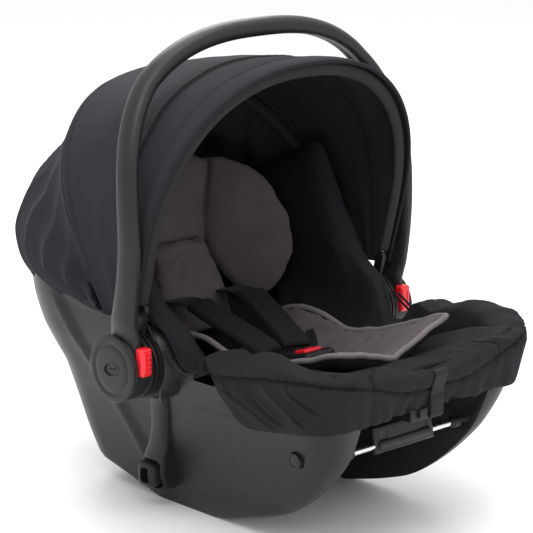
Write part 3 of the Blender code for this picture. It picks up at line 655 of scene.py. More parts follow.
# Height, middle and half depth, inner and outer face of the pillar under a hub.
PILLAR = (
    (10, -9, 18, 128, 168),
    (-30, 3, 16, 126, 160),
    (-60, 10, 15, 120, 150),
    (-92, 22, 15, 112, 139.5),
    (-112, 27, 16, 110, 138.5),
    (-126, 30, 17, 108, 141.5),
    (-146, 31, 18, 106, 143),
    (-166, 32, 16, 104, 138),
)
SHELL_BASE = -189
CUTTER_START = -330  # y of the cutters' ends, past the shell's foot end
# (y, z) of the screw caps and of the rod.
PLUG_PLACE = (-206.0, -74.0)
ROD_PLACE = (-230.0, -74.0)


def level(levels, height):
    """Front, rear, half width, front and rear corner radius at a height."""
    return [float(table_curve(levels, k, height)) for k in range(1, 6)]


def plan(size, corner=12, straight=24, ends=8):
    """Outline of a level seen from above, from the middle of the foot end round by +X."""
    front, rear, half, r0, r1 = size

    def arc(cx, cy, radius, start):
        turns = np.radians(np.linspace(start, start + 90, corner + 1))
        return np.stack([cx + radius * np.cos(turns), cy + radius * np.sin(turns)], 1)

    front_run = np.linspace(0, half - r0, ends)[:-1]
    side_run = np.linspace(front + r0, rear - r1, straight + 1)[1:-1]
    rear_run = np.linspace(half - r1, 0, ends)[1:]
    right = np.vstack([
        np.stack([front_run, np.full(len(front_run), front)], 1),
        arc(half - r0, front + r0, r0, -90),
        np.stack([np.full(len(side_run), half), side_run], 1),
        arc(half - r1, rear - r1, r1, 0),
        np.stack([rear_run, np.full(len(rear_run), rear)], 1),
    ])
    left = right[1:-1][::-1] * (-1, 1)
    return np.vstack([right, left])


def tub_rings(levels, heights, corner=12, straight=24):
    """Closed outlines, one at each height."""
    outlines = [plan(level(levels, z), corner, straight) for z in heights]
    return np.array([np.column_stack([p, np.full(len(p), z)]) for z, p in zip(heights, outlines)])


def side_relief(y, z):
    """How far the moulded side stands out: set back behind RIDGE, with a soft fold under the hub."""
    (y0, z0), (y1, z1) = RIDGE
    run = math.hypot(y1 - y0, z1 - z0)
    across = ((y - y0) * (z1 - z0) - (z - z0) * (y1 - y0)) / run
    fade = smoothstep(-168, -140, z) * (1 - smoothstep(38, 60, z))
    step = -5.0 * smoothstep(0.0, 9.0, across) * fade + 1.2 * bump(across + 2.0, 5.0) * fade
    fold_line = -52 - 0.03 * (y + 60)
    fold = -1.2 * bump(z - fold_line, 5.0) * smoothstep(-175, -120, y) * (1 - smoothstep(-70, -30, y))
    belly = 2.5 * bump((y + 110) / 120, 1.0) * bump((z + 110) / 55, 1.0)
    return step + fold + belly


def profile_block(name, profile, half_width=260.0):
    """A block across X with a (y, z) outline. half_width may depend on the height."""
    widths = [half_width(z) if callable(half_width) else half_width for _, z in profile]
    rings = [[(side * w, y, z) for (y, z), w in zip(profile, widths)] for side in (-1, 1)]
    return lofted(name, rings)


def smooth_line(table, count):
    """Points (y, z) along a table's smooth curve."""
    ys = np.linspace(table[0][0], table[-1][0], count)
    return list(zip(ys, table_curve(table, 1, ys)))


def pillar(side):
    """The rib from under a hub to the anchor socket, with a rounded outer face."""
    turns = np.linspace(-math.pi / 2, math.pi / 2, 15)
    rings = []
    for z, y, half, inner, outer in PILLAR:
        across = half * np.sign(np.sin(turns)) * np.abs(np.sin(turns)) ** 0.8
        out = outer - 12 + 12 * np.abs(np.cos(turns)) ** 0.55
        face = zip(side * out, y + across, [z] * len(turns))
        rings.append([(side * inner, y - half, z), *face, (side * inner, y + half, z)])
    return lofted("pillar", rings)


def make_shell(look):
    """The moulded tub with its pillars and hub seats, less its hollows, slots and holes."""
    heights = np.concatenate([np.arange(SHELL_BASE, -160, 3.0), np.arange(-160, 128, 3.2), [130.0]])
    rings = tub_rings(SHELL_LEVELS, heights, 22, 64)
    x, y, z = rings[..., 0], rings[..., 1], rings[..., 2]
    half = np.abs(x).max(axis=1, keepdims=True)
    facing = smoothstep(0.86, 0.97, np.abs(x) / half)
    rings[..., 0] = x + np.sign(x) * facing * side_relief(y, z)
    shell = lofted("shell_body", rings)
    for _, side in SIDES:
        cut(shell, pillar(side), "UNION")
        cut(shell, side_turned("hub_seat", side, HUB_SEAT), "UNION")
    above_rim = [*smooth_line(RIM, 170), (-CUTTER_START, 260), (CUTTER_START, 260)]
    cut(shell, profile_block("above_rim", above_rim))
    cut(shell, lofted("tub_space", tub_rings(TUB_LEVELS, np.linspace(-113, 140, 40))))
    channel = [(CUTTER_START, -200), (150, -200), *smooth_line(SKIRT_TOP, 50)[::-1]]
    cut(shell, profile_block("channel", channel, lambda z: 95 + 0.04 * (z - SHELL_BASE)))
    cut(shell, profile_block("back_hollow", BACK_HOLLOW, lambda z: 80 + 0.03 * (z - SHELL_BASE)))
    for _, side in SIDES:
        cut(shell, side_turned("hub_clear", side, ((179, 44), (240, 44))))
        cut(shell, side_block("slot", side, (130, -106, -11), (200, -58, 13), bevel=9, segments=6))
        cut(shell, side_block("socket_seat", side, (128, 16, -164), (165, 48, -130), bevel=7, segments=5))
        cut(shell, side_turned("plug_hole", side, ((124, 9.6), (150, 9.6)), 40, PLUG_PLACE))
        cut(shell, side_turned("rod_hole", side, ((86, 3.85), (128, 3.85)), 24, ROD_PLACE))
    soften = shell.modifiers.new("edges", "BEVEL")
    soften.width = 1.6 * MM
    soften.segments = 2
    soften.limit_method = "ANGLE"
    soften.angle_limit = math.radians(50)
    bake(shell)
    crease(dress(shell, look["shell"]), 38)
    fit(shell, "seat", "shell_plastic", "shell")


def make_anchor(look, name, side):
    """The socket at a pillar's foot: a raised collar round a dark slot."""
    collar = side_block("collar", side, (130, 18, -162), (151.5, 46, -132), bevel=8, segments=6)
    cut(collar, side_block("slot", side, (136, 22, -156), (170, 37, -138), bevel=5, segments=5))
    tongue = side_block("tongue", side, (137, 26.5, -157), (147, 30.5, -137), bevel=1.2)
    made = join(f"{name}_anchor", [collar, tongue])
    crease(dress(made, look["dark"]), 35)
    fit(made, "seat", "dark_plastic", f"{name}_anchor_socket")


def make_screw_cap(look, name, side):
    profile = ((128, 8.2), (141.6, 8.6), (142.4, 8.0), (142.4, 6.9), (141.5, 6.4), (141.9, 3.4), (142.1, 0.6))
    cap = side_turned(f"{name}_plug", side, profile, 48, PLUG_PLACE)
    crease(dress(cap, look["handle"]), 35)
    fit(cap, "seat", "dark_plastic", f"{name}_screw_cap")


PLATE_TILT = -12


def turn_about(pivot, degrees):
    """A turn about an axis along X."""
    shift = Matrix.Translation(Vector(pivot))
    return shift @ Matrix.Rotation(math.radians(degrees), 4, "X") @ shift.inverted()


def make_rod(look):
    """The rod across the foot end, its bushes and the guide plate round it."""
    y, z = ROD_PLACE
    rod = turned("rod", [(-127, 3.0), (-126.4, 3.5), (126.4, 3.5), (127, 3.0)], 32, ROD_PLACE)
    crease(dress(rod, look["steel"]), 35)
    fit(rod, "seat", "steel", "base_rod")
    for name, side in SIDES:
        profile = ((78, 4.2), (78.4, 5.2), (81, 5.6), (81.5, 6.8), (90.4, 7.0), (91, 6.4))
        bush = side_turned(f"{name}_bush", side, profile, 32, ROD_PLACE)
        crease(dress(bush, look["dark"]), 35)
        fit(bush, "seat", "dark_plastic", f"{name}_rod_bush")
    plate = block("plate", (-46, y - 4, z - 9), (48, y + 2.5, z + 21), bevel=2.2)
    for x in (-30.0, 33.0):
        cut(plate, block("dimple", (x - 6, y - 8, z + 4), (x + 6, y - 3.2, z + 16), bevel=1.0))
    eye = turned("eye", [(-40, 5.6), (-39, 6.6), (41, 6.6), (42, 5.6)], 32, ROD_PLACE)
    made = join("rod_plate", [plate, eye])
    made.data.transform(turn_about(placed((0, y, z)), PLATE_TILT))
    crease(dress(made, look["shell"]), 35)
    fit(made, "seat", "shell_plastic", "guide_plate")


# ---------------------------------------------------------------- hubs and handle

# Height, inner and outer face, and depth of the handle's lower ends.
HANDLE_FOOT = (
    (-6, 199, 216.6, 52),
    (20, 199, 216.6, 50),
    (36, 199.6, 217.0, 45),
    (46, 203.5, 219.5, 41),
    (56, 205.3, 222.6, 38),
    (80, 205.5, 223.3, 35),
    (115, 205.5, 223.5, 32),
    (150, 205.5, 223.5, 30),
)
HANDLE_HALF_WIDTH = 214.5
HANDLE_TOP = 357.0
HANDLE_SHOULDER = 150.5
HANDLE_POWER = 2.6
# A button's extent in x, y and z on the right side.
BUTTON = ((197.9, 213.0), (-43.0, -28.0), (-3.5, 28.5))
BADGE_TILT = 14
# (distance from the middle, radius) of the hub's cap, of the handle's round foot and of the stack within.
CAP_PROFILE = ((217.4, 35.5), (217.4, 37.2), (218.4, 38.2), (220.6, 38.2), (221.6, 37.4), (222.0, 36.2),
               (222.0, 31.4), (221.3, 30.4), (221.2, 27.4), (221.9, 26.4), (222.2, 20), (222.3, 10),
               (222.3, 0.5))
LOBE_PROFILE = ((197.8, 36), (198.6, 37), (216.0, 37.2), (217.2, 36.2))
STACK_PROFILE = ((179.2, 33), (179.2, 38.5), (184.0, 39.4), (184.6, 36.6), (186.4, 36.6), (187.0, 39.0),
                 (190.0, 39.0), (190.4, 36.0), (191.8, 36.0), (192.4, 38.4), (196.6, 38.4), (197.2, 37.4),
                 (197.2, 10))
# The lip between the shell and the hub, on the right side.
GUARD_LINE = ((181, 4, 55), (180.5, -8, 48), (180, -19, 35), (179, -30, 14), (178, -33, -8), (176, -29, -33),
              (172, -26, -42))


def handle_bow(height):
    """How far back the handle stands at a height."""
    return np.minimum(4.0, -24.0 * np.sin(np.pi * np.clip(height, 0, HANDLE_TOP) / 295.0))


def handle_section(x, height, normal, thick, deep, count=36):
    """A ring of points: softly rounded outside, flatter inside, with a shallow groove along the inside."""
    turns = 2 * np.pi * np.arange(count) / count
    out = np.sign(np.cos(turns)) * np.abs(np.cos(turns)) ** 0.72 * 0.5
    across = np.sign(np.sin(turns)) * np.abs(np.sin(turns)) ** 0.86 * 0.5
    across = across * (1 - 0.22 * np.clip(out * 2, 0, 1) ** 2)
    groove = np.where(out < -0.3, 0.14 * bump(across / 0.22, 1.0), 0)
    out = (out + groove) * thick
    return np.stack([x + normal[0] * out, handle_bow(height) + across * deep, height + normal[1] * out], 1)


def handle_side():
    """Stations from a hub to the middle of the grip, on the right side."""
    stations = []
    for height in np.concatenate([np.linspace(-6, 60, 18), np.linspace(66, 145, 12)]):
        inner, outer, deep = (float(table_curve(HANDLE_FOOT, k, height)) for k in (1, 2, 3))
        stations.append(((inner + outer) / 2, height, (1.0, 0.0), outer - inner, deep))
    rise = HANDLE_TOP - HANDLE_SHOULDER
    for angle in np.linspace(0, math.pi / 2, 46):
        power = 2 / HANDLE_POWER
        x = HANDLE_HALF_WIDTH * max(math.cos(angle), 0.0) ** power if angle < 1.5707 else 0.0
        height = HANDLE_SHOULDER + rise * math.sin(angle) ** power
        slope = np.array([(x / HANDLE_HALF_WIDTH) ** (HANDLE_POWER - 1) / HANDLE_HALF_WIDTH,
                          ((height - HANDLE_SHOULDER) / rise) ** (HANDLE_POWER - 1) / rise])
        slope /= np.linalg.norm(slope)
        stations.append((x, height, slope, 18 + 4 * math.sin(angle) ** 4, 30.0))
    return stations


def make_handle(look):
    """The handle's bow, with a round foot on each side and a pocket for its button."""
    right = [handle_section(*station) for station in handle_side()]
    left = [ring * (-1, 1, 1) for ring in right[:-1]]
    pieces = [lofted("handle_bar", np.array(left + right[::-1]))]
    (x0, x1), _, (z0, z1) = BUTTON
    for _, side in SIDES:
        lobe = side_turned("lobe", side, LOBE_PROFILE, 96)
        cut(lobe, side_turned("ring_recess", side, ((190, 23), (205, 23))))
        low, high = (x0 - 8, -60, z0 - 0.6), (x1 + 0.6, -21.4, z1 + 0.6)
        cut(lobe, side_block("pocket", side, low, high, bevel=1.5))
        pieces.append(lobe)
    made = join("handle", pieces)
    crease(dress(made, look["handle"]), 32)
    fit(made, "handle", "handle_plastic", "carry_handle")


def make_button(look, name, side):
    """A red push button with a rounded thumb face and grip ribs."""
    (x0, x1), (y0, y1), (z0, z1) = BUTTON
    body = side_block("body", side, (x0, y0 + 0.8, z0), (x1, y1 - 2.0, z1), bevel=3.2, segments=5)
    ribs = [side_block("rib", side, (x0 + 1.6, y0, z - 1.1), (x0 + 7.4, y0 + 3, z + 1.1), bevel=0.9)
            for z in np.linspace(z0 + 5.5, z1 - 5.5, 5)]
    low, high = (x0 + 9.2, y0 - 0.2, z0 + 4.5), (x0 + 12.4, y0 + 3, z1 - 4.5)
    ridge = side_block("ridge", side, low, high, bevel=1.4)
    made = join(f"{name}_button_cap", [body, *ribs, ridge])
    crease(dress(made, look["red"]), 40)
    fit(made, f"{name}_button", "red_plastic", f"{name}_handle_button")


def make_hub(look, name, side):
    """The handle's cap, a ring and a wavy bar in its oval recess, and the dark stack behind the handle."""
    cap = side_turned("cap", side, CAP_PROFILE, 96)
    oval = side_turned("oval", side, ((220.9, 8.2), (230, 9.2)), 48, stretch=(1.45, 0.86))
    oval.data.transform(turn_about(HUB, BADGE_TILT * side))
    cut(cap, oval)
    turns = 2 * np.pi * np.arange(49) / 48
    ring_path = np.stack([np.full(49, side * 222.1), 12.6 * np.cos(turns), 7.6 * np.sin(turns)], 1)
    ring = tube("badge_ring", ring_path, 0.95, sides=8, up=(1.0, 0.0, 0.0))
    wave = [(side * 221.3, y, z) for y, z in ((-6.5, 0.6), (-2, -0.8), (2.5, 0.9), (6.5, -0.4))]
    bar = tube("badge_wave", spline(wave), 0.8, sides=8, up=(1.0, 0.0, 0.0))
    for piece in (ring, bar):
        piece.data.transform(turn_about(HUB, BADGE_TILT * side))
    made = join(f"{name}_hub_disc", [cap, ring, bar])
    crease(dress(made, look["handle"]), 35)
    fit(made, "handle", "handle_plastic", f"{name}_hub_cap")
    base = side_turned(f"{name}_hub_stack", side, STACK_PROFILE, 96)
    crease(dress(base, look["dark"]), 35)
    fit(base, "seat", "dark_plastic", f"{name}_hub_base", f"{name}_lock_ring")
    guard_line = spline([(side * x, y, z) for x, y, z in GUARD_LINE])
    guard = tube(f"{name}_hub_guard", guard_line, 2.6, sides=12, flatten=0.55, up=(1.0, 0.0, 0.0))
    dress(guard, look["dark"])
    fit(guard, "seat", "dark_plastic")


# ---------------------------------------------------------------- canopy

ARCH_POWER = 2.3
ARCH_SHOULDER = 130.0
HEM_HEIGHT = 55.0
EDGE_TILT = 15.2  # the front edge, in degrees towards the foot end
FRONT_BOW_TILT = 14.0
REAR_BOW_TILT = -32.0
# Tilt, height above the hub axis and half width of the fabric between the bows.
CANOPY_PROFILE = (
    (-33.5, 342.0, 200.4),
    (-31.0, 343.0, 200.6),
    (-29.5, 342.0, 200.4),
    (-25.0, 334.0, 199.0),
    (-16.0, 326.0, 197.4),
    (-6.0, 322.0, 197.0),
    (0.0, 322.5, 197.6),
    (5.0, 327.0, 199.0),
    (10.0, 334.0, 201.4),
    (13.5, 338.6, 203.0),
    (15.2, 338.2, 203.0),
)


def arch(half_width, top, start, count):
    """Even points (x, distance from the hub axis) along a bow, from its left foot over to its right foot."""
    angles = np.linspace(0, math.pi / 2, 60)
    x = half_width * np.clip(np.cos(angles), 0, 1) ** (2 / ARCH_POWER)
    r = ARCH_SHOULDER + (top - ARCH_SHOULDER) * np.sin(angles) ** (2 / ARCH_POWER)
    foot = np.column_stack([[half_width] * 6, np.linspace(start, ARCH_SHOULDER, 7)[:-1]])
    half = resample(np.vstack([foot, np.column_stack([x, r])]), count // 2 + 1)
    return np.vstack([half[:-1] * (-1, 1), half[::-1]])


def tilted(points, degrees):
    """Turns (x, distance) points about the hub axis."""
    angle = np.radians(degrees)
    return np.stack([points[..., 0], -points[..., 1] * np.sin(angle), points[..., 1] * np.cos(angle)], -1)


def stitches(name, path, look, spacing=3.4, length=2.3, radius=0.32):
    """A row of short thread stitches along a path."""
    count = max(2, int(np.linalg.norm(np.diff(path, axis=0), axis=1).sum() / spacing))
    points = resample(path, count)
    verts, faces = [], []
    for p, t in zip(points, directions(points)):
        side = np.cross(t, (0.3, 0.5, 0.8))
        side /= np.linalg.norm(side)
        up = np.cross(side, t)
        base = len(verts)
        for k, swell in ((-0.5, 0.45), (-0.2, 1.0), (0.2, 1.0), (0.5, 0.45)):
            for a in (0, 90, 180, 270):
                around = math.cos(math.radians(a)) * side + math.sin(math.radians(a)) * up
                verts.append(p + t * length * k + around * radius * swell)
        for ring in range(3):
            for a in range(4):
                i, j = base + ring * 4 + a, base + ring * 4 + (a + 1) % 4
                faces.append((i, j, j + 4, i + 4))
        faces.append((base + 3, base + 2, base + 1, base))
        faces.append((base + 12, base + 13, base + 14, base + 15))
    return dress(mesh_object(name, placed(verts), faces), look["thread"])


def canopy_grid():
    """The tilts and rows of the cloth, from its front edge back to the rear bow."""
    fronts, middles = np.linspace(EDGE_TILT, 12, 7)[:-1], np.linspace(12, -28, 56)[:-1]
    tilts = np.concatenate([fronts, middles, np.linspace(-28, -33.4, 10)])
    rows = []
    for tilt in tilts:
        top, half = (float(table_curve(CANOPY_PROFILE, k, tilt)) for k in (1, 2))
        rows.append(tilted(arch(half, top, HEM_HEIGHT / math.cos(math.radians(tilt)), 181), tilt))
    return tilts, np.array(rows)


# Tilt, height and width of the ridges along the seams. A groove's height is negative.
CANOPY_SEAMS = ((9.4, -0.9, 0.35), (-0.3, -1.8, 0.4), (-30.2, -1.0, 0.4),
                (-1.2, 0.8, 0.6), (-32.2, 2.4, 1.0), (14.2, 1.2, 0.9))
STITCH_TILTS = (9.9, 8.8, 0.5, -1.1, -29.6, -30.8)
FELLED_SEAM_TILT = -0.3
CANOPY_THICKNESS = 1.6
# Half width, tilt and body of the sleeve round each bow.
SLEEVES = (
    ("front", 187.6, FRONT_BOW_TILT, "canopy_front"),
    ("rear", 182.0, REAR_BOW_TILT, "canopy_rear"),
)


def make_canopy(look):
    """The cloth between the bows, hollow between them and pulled at its seams, with its sleeves."""
    tilts, grid = canopy_grid()
    normals = grid_normals(grid)
    tilt = tilts[:, None]
    across = np.abs(np.linspace(-1, 1, grid.shape[1]))[None, :]
    relief = 1.4 * ripple(grid, 62, 3.1) + 0.5 * ripple(grid, 21, 8.2)
    relief = relief * smoothstep(14.5, 9, tilt)
    pull = np.sin(np.arctan2(grid[..., 1], grid[..., 2]) * 26) * smoothstep(0.55, 0.95, across) * 1.1
    relief = relief + pull * bump((tilt + 16) / 14, 1.0)
    for seam, height, width in CANOPY_SEAMS:
        relief = relief + height * bump(tilt - seam, width)
    pucker = np.sin(np.linspace(0, 420, grid.shape[1]))[None, :] * 0.35
    relief = relief + pucker * (bump(tilt - 9.0, 1.2) + bump(tilt + 0.3, 1.4) + bump(tilt + 30, 1.2))
    skin = grid + normals * relief[..., None]
    cloth = grid_object("cloth", skin)
    dress(cloth, look["black"], look["lining"])
    thicken(cloth, CANOPY_THICKNESS, inner=1)
    parts = [cloth, dress(tube("edge", skin[0] + normals[0] * -0.6, 2.5), look["piping"])]
    for column in (0, -1):
        parts.append(dress(tube("hem", skin[:, column], 1.8, sides=8), look["piping"]))
    for seam in STITCH_TILTS:
        row = int(np.abs(tilts - seam).argmin())
        parts.append(stitches("stitch", skin[row] + normals[row] * 0.25, look))
    # A flat felled seam inside, where the front and middle cloths meet.
    row = int(np.abs(tilts - FELLED_SEAM_TILT).argmin())
    inside = skin[row] - normals[row] * 2.6
    felled = tube("felled", inside, 4.5, sides=8, flatten=0.25, up=normals[row][0])
    parts.append(dress(felled, look["piping"]))
    made = join("canopy_cloth", parts)
    crease(made, 60)
    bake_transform(made)
    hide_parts("canopy_front_panel", "canopy_middle_panel")
    for name, half, tilt_at, body in SLEEVES:
        line = tilted(arch(half + 3.2, 326.2, 74, 121), tilt_at)
        angle = math.radians(tilt_at)
        across_plane = (0.0, math.cos(angle), math.sin(angle))
        sleeve = tube(f"canopy_{name}_sleeve", line, 7.6, sides=14, flatten=0.5, up=across_plane)
        dress(sleeve, look["lining"])
        fit(sleeve, body, "black_fabric", fill=0.5)


# How the gathered back swells beyond and tucks under a plain dome, from the rear bow (0) to the hem (1).
REAR_SWELL = ((0.0, 9.5), (0.03, 11.0), (0.13, 2.0), (0.3, -2.0), (0.5, 7.0), (0.66, 9.0), (0.82, -2.0),
              (1.0, -32.0))
REAR_START_TILT = -33.0
REAR_LEAST_TILT = -38.0  # the hem lies at least this far back
REAR_FOLDS = 9.0
HEM_GATHERS = 92


def rear_cloth_grid(columns=321, rows=96):
    """Rows from the rear bow down to the hem, before the folds."""
    base = arch(194.4, 329.5, 72, columns)
    end = -np.degrees(np.arccos(np.clip((HEM_HEIGHT - 3) / base[:, 1], 0, 1)))
    t = np.linspace(0, 1, rows)[:, None]
    tilts = REAR_START_TILT + (np.minimum(end, REAR_LEAST_TILT)[None, :] - REAR_START_TILT) * t
    lower = smoothstep(0.1, 0.4, t)
    size = np.hypot(base[None, :, 0] * (1 - 0.4 * lower), base[None, :, 1])
    grow = 1 + table_curve(REAR_SWELL, 1, t) / size
    x = base[None, :, 0] * (1 + (grow - 1) * (0.5 + 0.3 * lower))
    return t, tilted(np.stack([x, base[None, :, 1] * grow], -1), tilts)


def make_rear_canopy(look):
    """The gathered back of the canopy: soft deep folds from the rear bow down to an elastic hem."""
    t, grid = rear_cloth_grid()
    normals = grid_normals(grid)
    columns = grid.shape[1]
    place = np.linspace(-1, 1, columns)[None, :]
    wander = 0.030 * np.array([noise_at([(p * 3.0, q * 1.4, 4.2) for p in place[0]]) for q in t[:, 0]])
    turn = (place * (1.0 - 0.36 * t) + wander) * math.pi * REAR_FOLDS
    fold = 0.6 - np.abs(np.sin(turn + 0.9)) ** 1.1
    fine = 0.55 - np.abs(np.sin(turn * 2.2 + 0.3)) ** 0.8
    swell = smoothstep(0.02, 0.42, t) * (1 - 0.55 * smoothstep(0.8, 1.0, t))
    ease = 0.75 + 0.35 * noise_at([(p * 3.7, 9.1, 0.5) for p in place[0]])[None, :]
    relief = 9.0 * fold * swell * ease + 3.2 * fine * smoothstep(0.35, 0.8, t) * (1.2 - ease)
    relief = relief + 1.2 * ripple(grid, 34, 5.0) * smoothstep(0, 0.2, t)
    around = np.linspace(0, 2 * math.pi * HEM_GATHERS, columns)[None, :]
    gather = np.sin(around) * 1.5 * smoothstep(0.88, 0.97, t)
    seam = 1.6 * bump(t / 0.016, 1.0) - 1.6 * bump((t - 0.03) / 0.01, 1.0)
    relief = relief * smoothstep(0.0, 0.06, t) + gather + seam
    skin = grid + normals * relief[..., None]
    cloth = dress(grid_object("cloth", skin), look["black"], look["lining"])
    thicken(cloth, CANOPY_THICKNESS, inner=1)
    parts = [cloth, dress(tube("hem", skin[-1] - normals[-1] * 0.6, 2.6, sides=8), look["piping"])]
    for row in (4, int(0.95 * len(t))):
        parts.append(stitches("stitch", skin[row] + normals[row] * 0.3, look))
    made = crease(join("canopy_rear_cloth", parts), 60)
    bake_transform(made)
    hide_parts("canopy_rear_panel")


# ---------------------------------------------------------------- seat cover

# The cover's wall by y: foot of its inside, height of its roll over the rim, hem of its flap, set-out
# from the shell, and height of its side seam.
COVER_FOOT = ((-285, -6), (-220, -22), (-150, -46), (-60, -82), (60, -82), (130, -30), (200, 22), (285, 60))
COVER_CROWN = ((-292, 18), (-262, 23), (-240, 28), (-220, 32), (-200, 32), (-180, 25), (-160, 16),
               (-145, 11), (-130, 8), (-118, 5), (-106, 4), (-50, 3), (-36, 6), (-10, 20), (10, 58), (27, 96),
               (55, 136), (75, 128), (100, 106), (150, 76), (200, 38), (240, 20), (290, 9))
COVER_HEM = ((-292, -25), (-275, -29), (-250, -32), (-200, -39), (-165, -45), (-151, -46), (-138, -41),
             (-126, -28), (-116, -9), (-110, 8), (-107, 26))
COVER_SET_OUT = ((-290, 2.0), (-110, 2.0), (-86, 2.0), (-66, -6), (40, -6), (75, -12), (150, -16),
                 (300, -18))
SEAM_HEIGHT = ((-292, 21), (-275, 26), (-262, 28), (-240, 28), (-207, 24), (-154, 13), (-120, 7))
# Height of the same seam along the front, by distance from the middle.
FRONT_SEAM = ((0, -5), (25, -5), (84, 7), (120, 18), (150, 23))
# Slanting tucks below the side seam, each from one (y, z) to another.
TUCKS = (
    ((-150, 11), (-214, -30)),
    ((-203, 19), (-247, -24)),
    ((-127, -2), (-200, -36)),
    ((-236, 22), (-262, -6)),
)
TRIM_AT = 100.0  # distance from the middle of the two seams across the front roll
FOOT_END = -200  # the front roll is where y is less
FLAP_END = -107.5  # the flap hangs outside the shell where y is less
RING_STEPS = 8  # rows between two of the cover's control rings
COLUMN_STEPS = 3
INNER_SEAM_RING = 4.1  # place of the inner seam across the foot end, among the control rings


class Skin:
    """The tub's inside or outside as horizontal outlines, with points at any height and set-out."""

    def __init__(self, levels, low, high):
        self.heights = np.arange(low, high + 1, 2.0)
        self.stack = np.array([plan(level(levels, z), 14, 44) for z in self.heights])
        around = np.roll(self.stack, -1, 1) - np.roll(self.stack, 1, 1)
        around /= np.linalg.norm(around, axis=2, keepdims=True)
        self.outward = np.stack([around[..., 1], -around[..., 0]], -1)

    def at(self, height, outward=0.0):
        height = np.broadcast_to(np.asarray(height, float), self.stack.shape[1:2])
        place = np.clip((height - self.heights[0]) / 2.0, 0, len(self.heights) - 1.001)
        low = place.astype(int)
        share = (place - low)[:, None]
        index = np.arange(self.stack.shape[1])
        point = self.stack[low, index] * (1 - share) + self.stack[low + 1, index] * share
        normal = self.outward[low, index]
        return np.column_stack([point + normal * np.broadcast_to(outward, height.shape)[:, None], height])


def cover_grid():
    """Closed rings along the cover's wall: up inside the tub, over the rim, down outside and back within."""
    shell, tub = Skin(SHELL_LEVELS, -120, 230), Skin(TUB_LEVELS, -112, 230)
    height = np.full(shell.stack.shape[1], 20.0)
    for _ in range(6):
        y = shell.at(height)[:, 1]
        height = table_curve(RIM, 1, y)
    x = shell.at(height)[:, 0]
    top = np.max([table_curve(RIM, 1, y + near) for near in (-7, -3.5, 0, 3.5, 7)], axis=0) + 2.0
    foot = table_curve(COVER_FOOT, 1, y)
    front = 1 - smoothstep(-270, -235, y)
    dip = front * (1 - smoothstep(-4, 115, np.abs(x)))
    crown = table_curve(COVER_CROWN, 1, y) - 14 * dip
    corner = front * (1 - dip)
    hem = np.where(y < FLAP_END, table_curve(COVER_HEM, 1, y) + 3 * dip, top + 0.4)
    hem = np.minimum(hem, top + 0.4)
    wing = smoothstep(20, 90, crown)
    out = table_curve(COVER_SET_OUT, 1, y) - 3 * wing
    thick = np.interp(y, (-290, -240, -130, -108, 300), (2.6, 4.2, 4.2, 2.2, 2.2))
    full = np.interp(y, (-290, -130, -112, 300), (1.0, 1.0, 0.3, 0.3))
    mid = (hem + top) / 2
    control = [
        tub.at(foot, -17),
        tub.at(foot * 0.66 + top * 0.34, -18),
        tub.at(foot * 0.33 + top * 0.67, -17),
        tub.at(top + 0.30 * crown, -15 - 6 * full - 8 * wing),
        tub.at(top + 0.78 * crown, -11 - 7 * full - 6 * wing),
        tub.at(top + crown, -1 - 2 * full - 7 * wing),
        shell.at(top + 0.90 * crown, out - 2 + 1.5 * full - 6 * corner),
        shell.at(top + 0.50 * crown, out + thick + 2.5 * full - 6 * corner),
        shell.at(top + 0.10 * crown * full, out + thick + 1.5 * full - 2 * corner),
        shell.at(mid, out + thick + 1 * front),
        shell.at(hem + 1.2, out + thick + 3 * front),
        shell.at(hem, out + 0.5 * thick + 3 * front),
        shell.at(hem + 1.2, out + 0.2 + 3 * front),
        shell.at(mid + 0.4, out),
        shell.at(top, out),
        tub.at(top, -1.5),
        tub.at((foot + top) / 2, -4),
        tub.at(foot + 1, -5),
    ]
    rings = spline(np.array(control).reshape(len(control), -1), RING_STEPS, closed=True)
    across = rings.reshape(-1, len(x), 3).transpose(1, 0, 2).reshape(len(x), -1)
    columns = spline(across, COLUMN_STEPS, closed=True).reshape(len(x) * COLUMN_STEPS, -1, 3)
    return columns.transpose(1, 0, 2).copy()


def tuck(y, z, start, end):
    """A pinched fold in the cloth that runs from one (y, z) to another."""
    run = np.subtract(end, start)
    length = np.hypot(*run)
    share = ((y - start[0]) * run[0] + (z - start[1]) * run[1]) / length**2
    off = ((y - start[0]) * run[1] - (z - start[1]) * run[0]) / length
    fade = smoothstep(-0.04, 0.10, share) * (1 - smoothstep(0.75, 1.1, share))
    return fade * (-4.6 * bump(off, 2.0) + 4.2 * bump(off - 5.0, 3.6) + 1.4 * bump(off + 6.0, 4.0))


def ring_row(share):
    """The row of the cover's grid at a place among its control rings."""
    return int(share * RING_STEPS)


